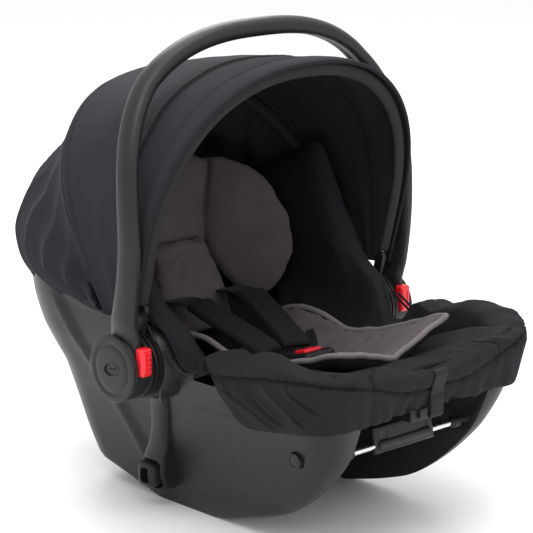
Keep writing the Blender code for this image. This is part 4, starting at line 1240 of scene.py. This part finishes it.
def make_cover(look):
    """The seat cover's padded edge: a puffed roll over the rim, with a flap that hangs outside the shell."""
    grid = cover_grid()
    normals = -grid_normals(grid, wrap_rows=True, wrap_columns=True)
    y, z = grid[..., 1], grid[..., 2]
    side = np.abs(grid[..., 0])
    row = np.arange(len(grid))[:, None] / RING_STEPS
    outer = ((row > 6.0) & (row < 10.4)).astype(float)
    hem_side = ((row > 6.0) & (row < 11.4)).astype(float)
    waist = grid[ring_row(9)]
    lengths = np.cumsum(np.linalg.norm(np.diff(waist, axis=0, append=waist[:1]), axis=1))[None, :]
    frontal = 1 - smoothstep(-276, -252, y)
    seam_at = table_curve(SEAM_HEIGHT, 1, y) * (1 - frontal) + table_curve(FRONT_SEAM, 1, side) * frontal
    flapped = smoothstep(-107, -111, y)
    over = z - seam_at
    hanging = smoothstep(1, -7, over) * hem_side * flapped
    strap = 1 - bump(side / 15, 1.0) * frontal * (y < FOOT_END)
    bunch = noise_at([(s / 19.0, 1.7, 0.4) for s in lengths[0]])[None, :]
    phase = lengths / 12.0 + 3.0 * np.sin(lengths / 33) + 1.2 * np.sin(lengths / 13.7)
    gather = (np.abs(np.sin(phase)) ** 0.8 - 0.62) * (4.4 + 6.5 * bunch)
    gather = gather + np.sin(lengths / 7.4 * 2 + 2 * bunch) * 1.2
    gather = gather * hanging * (1 - smoothstep(-284, -262, y)) * (1 - 0.75 * smoothstep(95, 135, side))
    gather = gather * smoothstep(-2, -15, over)
    tucks = sum(tuck(y, z, *ends) for ends in TUCKS) * hanging * (1 - frontal)
    groove = -3.6 * bump(over, 2.1) * outer * flapped
    plump = 1.6 * (bump(over - 9, 7.0) + 0.6 * bump(over + 9, 7.0)) * outer * flapped
    pucker = np.sin(lengths / 8.4 * 2 * math.pi + 1.7 * np.sin(lengths / 31)) * 1.1
    pucker = pucker * bump(over, 9.0) * outer * flapped
    on_roll = smoothstep(3.0, 3.4, row) * (1 - smoothstep(6.9, 7.4, row) * (1 - outer))
    on_roll = on_roll * (over > 0) * (y < FOOT_END)
    trim = -2.6 * bump(side - TRIM_AT, 2.2) * on_roll
    inner_seam = -2.6 * bump((row - INNER_SEAM_RING) * 12, 2.0) * (side < TRIM_AT) * (y < FOOT_END)
    wrinkle = np.sin(lengths / 27 * 2 * math.pi + 0.12 * z + 2 * np.sin(lengths / 71)) * 0.6
    wrinkle = wrinkle * smoothstep(3.2, 4.2, row) * (row < 7.5) * smoothstep(-120, -150, y)
    relief = gather + tucks + groove + plump + pucker + trim + inner_seam + wrinkle
    relief = relief * strap + 1.6 * ripple(grid, 46, 2.0) + 0.8 * ripple(grid, 17, 6.0)
    skin = grid + normals * relief[..., None]
    cloth = grid_object("seat_cover_wall", skin, wrap_rows=True, wrap_columns=True, flip=True)
    parts = [dress(cloth, look["cover"])]
    rows = np.argmin(np.abs(np.where(outer > 0, over, 1e6)), axis=0)
    keep = np.where(waist[:, 1] < -109)[0]
    columns = grid.shape[1]
    order = np.concatenate([keep[keep > columns // 2], keep[keep <= columns // 2]])
    line = skin[rows[order], order] + normals[rows[order], order] * 0.7
    parts.append(dress(tube("seam", line, 1.15, sides=8), look["seam"]))
    raised = skin[rows[order] - 1, order] + normals[rows[order] - 1, order] * 0.5
    parts.append(stitches("stitch", raised + (0, 0, 1.6), look))
    front = keep[(waist[keep, 1] < FOOT_END)]
    proud = skin + normals * 0.3
    for at in (-TRIM_AT, TRIM_AT):
        column = front[np.argmin(np.abs(waist[front, 0] - at))]
        trim_line = proud[ring_row(3.5):rows[column], column]
        parts.append(dress(tube("seam", trim_line, 0.9, sides=8), look["seam"]))
    across = [i for i in order if abs(waist[i, 0]) < TRIM_AT and waist[i, 1] < FOOT_END]
    across_line = proud[ring_row(INNER_SEAM_RING), across]
    parts.append(dress(tube("seam", across_line, 0.9, sides=8), look["seam"]))
    made = crease(join("seat_cover_wall", parts), 70)
    fit(made, "seat", "black_fabric", "seat_cover", fill=0.5)
    column = front[np.argmin(np.abs(waist[front, 0]))]
    return (skin + normals * 1.5)[ring_row(6.1):ring_row(9.9), column]


# The seat's middle line, from the front rim down to the bottom and up the back, as (y, z).
SPINE = ((-275, 8), (-204, -22), (-125, -62), (-60, -97), (0, -112), (50, -108), (96, -86), (142, -45),
         (180, -8), (212, 26), (238, 54), (256, 77))
# Half width of the cover's middle cloth by height.
PANEL_HALF_WIDTH = ((-112, 82), (-95, 84), (-60, 98), (-20, 118), (8, 139), (50, 148), (120, 150))


def make_seat_panel(look):
    """The cover's middle cloth, a broad quilted trough under the insert and up the back."""
    line = resample(spline(SPINE, 12), 110)
    along = directions(line)
    t = np.linspace(0, 1, len(line))
    half = table_curve(PANEL_HALF_WIDTH, 1, line[:, 1])
    half = half - 38 * smoothstep(200, 256, line[:, 0])
    lift = 20 + 12 * np.sin(math.pi * np.clip(t / 0.85, 0, 1))
    lift = lift - 8 * smoothstep(0.82, 1.0, t) - 8 * (1 - smoothstep(0.0, 0.08, t))
    u = np.linspace(-1, 1, 81)
    quilt = 1.6 * np.abs(np.cos(u * math.pi * 2.5)) ** 0.6
    rise = lift[:, None] + 16 * u**4 + quilt
    y = line[:, :1] - along[:, 1:] * rise
    z = line[:, 1:] + along[:, :1] * rise
    grid = np.stack([half[:, None] * u, y, z], -1)
    grid[..., 2] += 0.9 * ripple(grid, 26, 1.0)
    panel = dress(grid_object("seat_cover_panel", grid), look["cover"])
    thicken(panel, 6.0)
    fit(panel, "seat", "black_fabric", "cover_centre_pad", fill=0.4)


# ---------------------------------------------------------------- insert, pillow and harness


def swell(obj, pinned, voxel, pressure, cap, frames=20):
    """Inflates a closed pad between its pinned seams, by `cap` millimetres at most.
    """
    obj.data.remesh_voxel_size = voxel * MM
    remesh = obj.modifiers.new("remesh", "REMESH")
    remesh.mode = "VOXEL"
    remesh.voxel_size = voxel * MM
    bake(obj)
    rest = vertex_values(obj, "co")
    weights = np.clip(pinned((rest - HUB) / MM), 0.0, 1.0)
    group = obj.vertex_groups.new(name="seam")
    for index in np.where(weights > 0.02)[0]:
        group.add([int(index)], float(weights[index]), "REPLACE")
    cloth = obj.modifiers.new("cloth", "CLOTH")
    cloth.settings.use_pressure = True
    cloth.settings.uniform_pressure_force = pressure
    cloth.settings.effector_weights.gravity = 0
    cloth.settings.quality = 5
    cloth.settings.mass = 0.25
    cloth.settings.tension_stiffness = 12
    cloth.settings.compression_stiffness = 8
    cloth.settings.bending_stiffness = 0.4
    cloth.settings.vertex_group_mass = "seam"
    cloth.collision_settings.use_collision = False
    cloth.point_cache.frame_start = 1
    cloth.point_cache.frame_end = frames
    for frame_number in range(1, frames + 1):
        scene.frame_set(frame_number)
    moved = vertex_values(obj.evaluated_get(bpy.context.evaluated_depsgraph_get()), "co") - rest
    reach = np.linalg.norm(moved, axis=1, keepdims=True)
    moved *= np.minimum(1.0, cap * MM / np.maximum(reach, 1e-9))
    obj.modifiers.remove(cloth)
    obj.vertex_groups.clear()
    scene.frame_set(1)
    put_vertices(obj, rest + moved)
    fine = obj.modifiers.new("fine", "SUBSURF")
    fine.levels = 1
    bake(obj)


def vertex_values(obj, key):
    values = np.empty(len(obj.data.vertices) * 3)
    obj.data.vertices.foreach_get(key, values)
    return values.reshape(-1, 3)


def put_vertices(obj, places):
    obj.data.vertices.foreach_set("co", np.ascontiguousarray(places).ravel())
    obj.data.update()


def press(obj, depth_at):
    """Moves every vertex in along its normal by depth_at(points in millimetres)."""
    places = vertex_values(obj, "co")
    depth = depth_at((places - HUB) / MM)[:, None]
    put_vertices(obj, places - vertex_values(obj, "normal") * depth * MM)


def sheet_between(name, front, back):
    """A closed solid between two equal grids of points."""
    front, back = np.asarray(front, float), np.asarray(back, float)
    rows, columns = front.shape[:2]
    verts = np.vstack([front.reshape(-1, 3), back.reshape(-1, 3)])
    size = rows * columns
    faces = []
    for r in range(rows - 1):
        for c in range(columns - 1):
            i = r * columns + c
            faces.append((i, i + 1, i + columns + 1, i + columns))
            faces.append((size + i + columns, size + i + columns + 1, size + i + 1, size + i))
    edge = list(range(columns))
    edge += [r * columns + columns - 1 for r in range(1, rows)]
    edge += [(rows - 1) * columns + c for c in range(columns - 2, -1, -1)]
    edge += [r * columns for r in range(rows - 2, 0, -1)]
    for i, j in zip(edge, edge[1:] + edge[:1]):
        faces.append((j, i, size + i, size + j))
    return close_up(mesh_object(name, placed(verts), faces))


# The pillow by distance from the middle: bottom and top height, and y of its face at each.
PILLOW = (
    (0, 75, 179, 142, 172),
    (30, 74, 180, 143, 172),
    (48, 68, 181, 143, 171),
    (62, 48, 181, 130, 161),
    (78, 22, 179, 113, 143),
    (97, 3, 172, 93, 123),
    (116, 22, 154, 74, 100),
    (129, 60, 114, 62, 76),
)
PILLOW_HALF_WIDTH = 132
# Where the pillow's seams run, as half width by height.
PILLOW_SEAM = ((40, 48), (80, 50), (110, 52), (150, 60), (185, 68))


def pillow_seam(points):
    """Distance from the seam between the middle panel and the wings, in millimetres."""
    x, z = np.abs(points[:, 0]), points[:, 2]
    return x - table_curve(PILLOW_SEAM, 1, z)


def make_pillow(look):
    """The head pillow, a middle panel between two wings."""
    xs = np.linspace(-PILLOW_HALF_WIDTH, PILLOW_HALF_WIDTH, 63)
    low, high, y_low, y_high = (table_curve(PILLOW, k, np.abs(xs)) for k in range(1, 5))
    sides = np.sqrt(np.clip(1 - (np.abs(xs) / (PILLOW_HALF_WIDTH + 1.5)) ** 10, 0, 1))
    front, back = [], []
    for t in np.linspace(0, 1, 31):
        y = y_low + (y_high - y_low) * t + 17
        z = low + (high - low) * t
        half = 1.0 + 14.0 * np.sqrt(np.clip(1 - (2 * abs(t - 0.5)) ** 5, 0.0, 1)) * sides
        front.append(np.stack([xs, y - half, z], 1))
        back.append(np.stack([xs, y + half, z], 1))
    made = sheet_between("head_pillow_soft", front, back)

    def pinned(points):
        seam = np.exp(-(pillow_seam(points) / 5.0) ** 2)
        wide, z = np.abs(points[:, 0]), points[:, 2]
        inside = np.minimum(z - table_curve(PILLOW, 1, wide), table_curve(PILLOW, 2, wide) - z)
        return np.maximum(seam, 1 - smoothstep(3, 11, np.minimum(inside, PILLOW_HALF_WIDTH - wide)))

    swell(made, pinned, voxel=5.0, pressure=5.0, cap=11.0)
    press(made, pillow_relief)
    dress(made, look["grey"])
    crease(made, 75)
    fit(made, "seat", "grey_fabric", "head_pillow", fill=0.85)


def pillow_relief(points):
    """How far in the pillow's skin lies: deep seams, puckers and soft unevenness."""
    gap = pillow_seam(points)
    y, z = points[:, 1], points[:, 2]
    facing = smoothstep(190, 175, y)
    seam = 5.0 * np.exp(-(gap / 3.0) ** 2) + 2.6 * np.exp(-(gap / 9.0) ** 2)
    pucker = 0.55 * np.sin(z / 6.5 * 2 * math.pi) * np.exp(-(gap / 10.0) ** 2)
    waves = noise_at(points / 34.0) * 1.3
    return (seam + pucker) * facing + waves


# The insert's leg part: y, height of its middle, rise of its sides, half width.
LEG_PART = (
    (-214, 20, 33, 82),
    (-190, 10, 34, 85),
    (-160, -4, 36, 87),
    (-117, -20, 37, 87),
    (-66, -33, 38, 87),
    (-12, -42, 58, 87),
    (14, -42, 60, 87),
    (40, -40, 52, 86),
    (62, -34, 38, 80),
)


LEG_FRONT, LEG_REAR, LEG_HALF_WIDTH = -214, 60, 87
# Drop and inward shift of the rows of the black panel below the piping.
SKIRT_ROWS = ((0.0, 0.0), (5.0, 0.6), (11.0, 3.0), (16.0, 7.5), (20.0, 13.0))


def make_leg_part(look):
    """The insert's trough: a soft quilted top with a light piped edge over a black side panel."""
    ys = np.linspace(LEG_FRONT, LEG_REAR, 64)
    middle, rise, half = (table_curve(LEG_PART, k, ys) for k in (1, 2, 3))
    u = np.linspace(-1, 1, 49)
    sides = np.sqrt(np.clip(1 - np.abs(u) ** 14, 0, 1))
    top, low = [], []
    for k, y in enumerate(ys):
        share = k / (len(ys) - 1)
        lift = rise[k] * np.abs(u) ** (2.0 - 1.05 * (1 - smoothstep(LEG_FRONT, -130, y)))
        lift = lift * (1 - 0.40 * (u < 0) * (1 - smoothstep(LEG_FRONT, -60, y)))
        thick = 1.0 + 5.2 * (sides * math.sqrt(max(0.0, 1 - (2 * abs(share - 0.5)) ** 16)))
        top.append(np.stack([u * half[k], np.full_like(u, y), middle[k] + lift - 6 + thick], 1))
        low.append(np.stack([u * half[k], np.full_like(u, y), middle[k] + lift - 6 - thick], 1))
    top, low = np.array(top), np.array(low)
    rim = np.concatenate([top[::-1, 0], top[0, 1:], top[1:, -1]])
    made = sheet_between("insert_seat_soft", top, low)

    def pinned(points):
        wide, y = np.abs(points[:, 0]), points[:, 1]
        ends = np.minimum(y - LEG_FRONT, LEG_REAR - y)
        inside = np.minimum(table_curve(LEG_PART, 3, y) - wide, ends)
        channel = np.where(np.abs(wide - 20) < 2.0, 0.75, 0.0)
        return np.maximum(channel, 1 - smoothstep(2, 9, inside))

    swell(made, pinned, voxel=4.5, pressure=3.0, cap=5.0)
    press(made, leg_relief)
    dress(made, look["grey"], look["dark_mesh"])
    # The underside and the outward-facing flanks are the black panel.
    for polygon in made.data.polygons:
        x, y, z = (np.array(polygon.center) - HUB) / MM
        middle_here, rise_here = table_curve(LEG_PART, 1, y), table_curve(LEG_PART, 2, y)
        if z < middle_here + rise_here * (x / LEG_HALF_WIDTH) ** 2 - 6 - 1.2:
            polygon.material_index = 1
    edge = resample(rim, 260)
    wave = noise_at(edge / 21.0)
    x, y = edge[:, 0], edge[:, 1]
    out_x = np.sign(x) * smoothstep(60, 82, np.abs(x)) * 2.0
    out_y = -smoothstep(-200, LEG_FRONT, y) * 2.6
    edge = edge + np.column_stack([wave * 0.8 + out_x, wave + out_y, wave * 1.2 - 0.6])
    piping = dress(tube("piping", edge, 3.5, sides=12), look["grey_edge"])
    x, y = edge[:, 0], edge[:, 1]
    in_x, in_y = -np.sign(x) * smoothstep(10, 80, np.abs(x)), smoothstep(-150, LEG_FRONT, y)
    rows = [edge + np.column_stack([in_x * inward + wave * drop * 0.12, in_y * inward,
                                    np.full_like(x, -drop - 1.0)]) for drop, inward in SKIRT_ROWS]
    skirt = dress(grid_object("skirt", np.array(rows)), look["dark_mesh"])
    thicken(skirt, 1.4)
    made = join("insert_seat_soft", [made, piping, skirt])
    crease(made, 75)
    fit(made, "seat", "grey_fabric", "insert_seat_pad", fill=0.45)


def leg_relief(points):
    """Creases that fan out to the sides, soft unevenness and the crotch strap's slot."""
    x, y = points[:, 0], points[:, 1]
    waves = noise_at(points / 26.0) * 1.4
    fan = np.sin(np.arctan2(np.abs(x) - 10, y + 95) * 11.0) * 1.5 * smoothstep(22, 60, np.abs(x))
    fan = fan * (0.5 + 0.5 * noise_at(points / 60.0 + 3.0))
    slot = 3.0 * np.exp(-(((y + 108) / 4.0) ** 2)) * (np.abs(x) < 24)
    return waves + fan + slot


# The insert's back part: height, y of its face and half width.
BACK_PART = ((-24, 84, 57), (-5, 92, 58), (25, 103, 58), (50, 116, 53), (73, 127, 48), (86, 135, 46))
PULL_HEIGHT = 84  # the creases of the back part fan out from here


def back_relief(points):
    """Creases that fan out below the pillow, and soft unevenness."""
    x, z = points[:, 0], points[:, 2]
    waves = noise_at(points / 30.0 + 7.0) * 1.6
    pull = np.sin(np.arctan2(z - PULL_HEIGHT, np.abs(x) + 4) * 13) * 1.3
    pull = pull * np.exp(-((np.hypot(x, z - PULL_HEIGHT) - 30) / 24.0) ** 2)
    return waves + pull


def make_back_part(look):
    """The insert's upper pad, below the pillow."""
    heights = np.linspace(-20, 89, 40)
    y_at, half = table_curve(BACK_PART, 1, heights), table_curve(BACK_PART, 2, heights)
    u = np.linspace(-1, 1, 37)
    sides = np.sqrt(np.clip(1 - np.abs(u) ** 6, 0, 1))
    front, back = [], []
    for k, z in enumerate(heights):
        t = k / (len(heights) - 1)
        rim = sides * math.sqrt(max(0.0, 1 - (2 * abs(t - 0.5)) ** 7))
        crown = y_at[k] + 13 * u * u
        front.append(np.stack([u * half[k], crown + 9 - 8.5 * rim, np.full_like(u, z)], 1))
        back.append(np.stack([u * half[k], crown + 10 + 8.5 * rim, np.full_like(u, z)], 1))
    made = sheet_between("insert_back_soft", front, back)
    swell(made, lambda p: np.zeros(len(p)), voxel=4.5, pressure=4.0, cap=7.0)
    press(made, back_relief)
    dress(made, look["grey"])
    crease(made, 75)
    fit(made, "seat", "grey_fabric", "insert_back_pad", fill=0.8)


STRAP_THICKNESS = 1.9


def strap_rings(path, width, across=(1.0, 0.0, 0.0), seed=0.0):
    """Rounded flat sections along a path, with a little twist."""
    across = np.asarray(across, float)
    rings = []
    for k, (p, t) in enumerate(zip(path, directions(path))):
        side = across - t * (across @ t)
        side /= np.linalg.norm(side)
        up = np.cross(side, t)
        turn = 0.05 * noise.noise(Vector((k * 0.13, seed, 1.7)))
        side, up = side * math.cos(turn) + up * math.sin(turn), up * math.cos(turn) - side * math.sin(turn)
        ring = []
        for a in np.linspace(0, 2 * math.pi, 24, endpoint=False):
            c, s = math.cos(a), math.sin(a)
            w = width / 2 * math.copysign(abs(c) ** 0.25, c)
            h = STRAP_THICKNESS / 2 * math.copysign(abs(s) ** 0.6, s)
            ring.append(p + side * w + up * h)
        rings.append(ring)
    return np.array(rings)


def make_strap(look, name, node, path, width, across=(1.0, 0.0, 0.0), count=40):
    line = resample(spline(path, 10), count)
    made = lofted(name, strap_rings(line, width, across, seed=len(name)))
    crease(dress(made, look["webbing"]), 50)
    fit(made, "seat", "webbing", node)


# The harness's lines, and an elastic cord's. Those that come in pairs are given for the right side.
SHOULDER_PAD_LINE = ((21.5, -43, -10), (29, -6, 5), (36, 27, 18), (41, 62, 31))
SHOULDER_LINE = ((41, 58, 29), (41.5, 80, 31), (42, 104, 27))
LAP_LINE = ((31, -46, -24), (45, -32, -20), (57, -16, -15), (66, -2, -12))
CROTCH_LINE = ((0, -106.2, -8.8), (0, -110, -13), (0, -113.4, -18.5))
SPLITTER_LINE = ((0, 122, -112), (0, 84, -131), (0, 20, -136), (0, -30, -134), (0, -80, -116),
                 (0, -140, -84), (0, -210, -46), (0, -236, -36))
# The sewn loop at the adjuster strap's end, from where the strap leaves the cover.
END_LOOP = ((0, -1.2, 12), (0, -2.0, 2), (0, -1.8, -8), (0, 0.6, -11), (0, 2.4, -6), (0, 2.0, 2))
ELASTIC_LINE = ((183, -44, 22), (187, -58, 10), (186, -74, 1), (183, -86, 0), (179, -93, 4))
# Place along a ferrule and its relative size there.
FERRULE = ((-3.6, 0.82), (-3.1, 1.0), (-0.9, 1.0), (-0.4, 0.86), (0.4, 0.86), (0.9, 1.0), (3.1, 1.0),
           (3.6, 0.82))


def make_shoulder_pad(look, name, side):
    """A quilted pad round a shoulder strap, piped along both edges."""
    line = resample(spline([(side * x, y, z) for x, y, z in SHOULDER_PAD_LINE], 12), 56)
    rings = []
    for k, (p, t) in enumerate(zip(line, directions(line))):
        across = np.array((1.0, 0, 0)) - t * t[0]
        across /= np.linalg.norm(across)
        up = np.cross(across, t)
        s = k / (len(line) - 1)
        end = (1 - abs(2 * s - 1) ** 26) ** 0.5
        half_width, half_depth = 19.0 * (0.93 + 0.07 * end), 1.6 + 4.3 * end
        ring = []
        for a in np.linspace(0, 2 * math.pi, 44, endpoint=False):
            c, v = math.cos(a), math.sin(a)
            w = half_width * math.copysign(abs(c) ** 0.45, c)
            quilt = 0.8 * math.cos(w / half_width * math.pi * 2.0)
            h = half_depth * math.copysign(abs(v) ** 0.7, v) + (quilt if v > 0.3 else 0.0) * end
            wrinkle = 0.7 * noise.noise(Vector((w * 0.06, k * 0.35 + side, 2.0)))
            ring.append(p + across * w + up * (h + wrinkle))
        rings.append(ring)
    made = lofted(f"{name}_shoulder_cover", np.array(rings))
    dress(made, look["pad"])
    parts = [made]
    for edge in (-1, 1):
        seam = line[1:-1] + (edge * 18.6, 0, 0)
        parts.append(dress(tube("seam", seam, 1.1, sides=8), look["piping"]))
    made = join(f"{name}_shoulder_cover", parts)
    crease(made, 60)
    fit(made, "seat", "black_fabric", f"{name}_shoulder_pad", fill=0.5)


def make_harness(look):
    for name, side in SIDES:
        make_shoulder_pad(look, name, side)
        shoulder = [(side * x, y, z) for x, y, z in SHOULDER_LINE]
        make_strap(look, f"{name}_shoulder_webbing", f"{name}_shoulder_strap", shoulder, 36)
        lap = [(side * x, y, z) for x, y, z in LAP_LINE]
        across = (0.52 * side, -0.68, 0.42)
        make_strap(look, f"{name}_lap_webbing", f"{name}_lap_strap", lap, 32, across)
    make_strap(look, "crotch_webbing", "crotch_strap", CROTCH_LINE, 36, count=12)
    make_strap(look, "splitter_webbing", "splitter_strap", SPLITTER_LINE, 24, count=120)


def make_adjuster_strap(look, over_edge):
    """The webbing over the front of the cover: it follows the roll and hangs in a short stitched loop."""
    end = over_edge[-1]
    tail = [end + (0, -0.6, -5), end + (0, -0.2, -10)]
    line = resample(spline(np.vstack([over_edge[::3], tail]), 6), 90)
    strap = dress(lofted("strap", strap_rings(line, 20, seed=3.0)), look["webbing"])
    loop = resample(spline([tail[0] + place for place in END_LOOP], 8), 36)
    fold = dress(lofted("fold", strap_rings(loop, 20.6, seed=5.0)), look["webbing"])
    parts = [strap, fold]
    for rise in (9.0, 5.5):
        row = np.array([tail[0] + (x, -2.6, rise) for x in np.linspace(-8.5, 8.5, 12)])
        parts.append(stitches("stitch", row, look, spacing=2.4, length=1.7, radius=0.35))
    made = crease(join("adjuster_webbing", parts), 50)
    fit(made, "seat", "webbing", "adjuster_strap")


def make_elastic(look, name, side):
    """A shock cord from the cover's edge into the shell's slot, with a pressed metal ferrule."""
    path = resample(spline([(side * x, y, z) for x, y, z in ELASTIC_LINE], 12), 70)
    cord = dress(tube("cord", path, 1.5, sides=12), look["piping"])
    second = path + np.array((side * 0.4, -2.0, 5.2))
    other = dress(tube("cord", second[4:], 1.5, sides=12), look["piping"])
    centre = (path[60] + second[60]) / 2
    direction = path[64] - path[56]
    direction /= np.linalg.norm(direction)
    rings = []
    up = np.array((0, 0, 1.0))
    flat = np.cross(direction, up)
    for s, grow in FERRULE:
        ring = [centre + direction * s + (flat * math.cos(a) * 2.2 + up * math.sin(a) * 4.2) * grow
                for a in np.linspace(0, 2 * math.pi, 20, endpoint=False)]
        rings.append(ring)
    crimp = dress(lofted("crimp", np.array(rings)), look["dark"])
    made = crease(join(f"{name}_elastic", [cord, other, crimp]), 40)
    fit(made, "seat", "webbing", f"{name}_elastic_loop")


# The look of a CAD node that stays in sight, by its material slot.
CAD_LOOKS = {
    "dark_plastic": "dark",
    "steel": "steel",
    "black_fabric": "black",
    "grey_fabric": "grey",
    "webbing": "webbing",
    "foam": "foam",
    "red_plastic": "red",
}


def main():
    make_camera()
    make_stage()
    look = make_materials()
    make_shell(look)
    make_rod(look)
    make_handle(look)
    make_canopy(look)
    make_rear_canopy(look)
    over_edge = make_cover(look)
    make_seat_panel(look)
    make_pillow(look)
    make_leg_part(look)
    make_back_part(look)
    make_harness(look)
    make_adjuster_strap(look, over_edge)
    for name, side in SIDES:
        make_elastic(look, name, side)
    for name, side in SIDES:
        make_anchor(look, name, side)
        make_screw_cap(look, name, side)
        make_button(look, name, side)
        make_hub(look, name, side)
    for node in NODES.values():
        if not node.hide_render:
            slot = node.data.materials[0].name.split(".")[0]
            dress(node, look[CAD_LOOKS.get(slot, "dark")])


main()
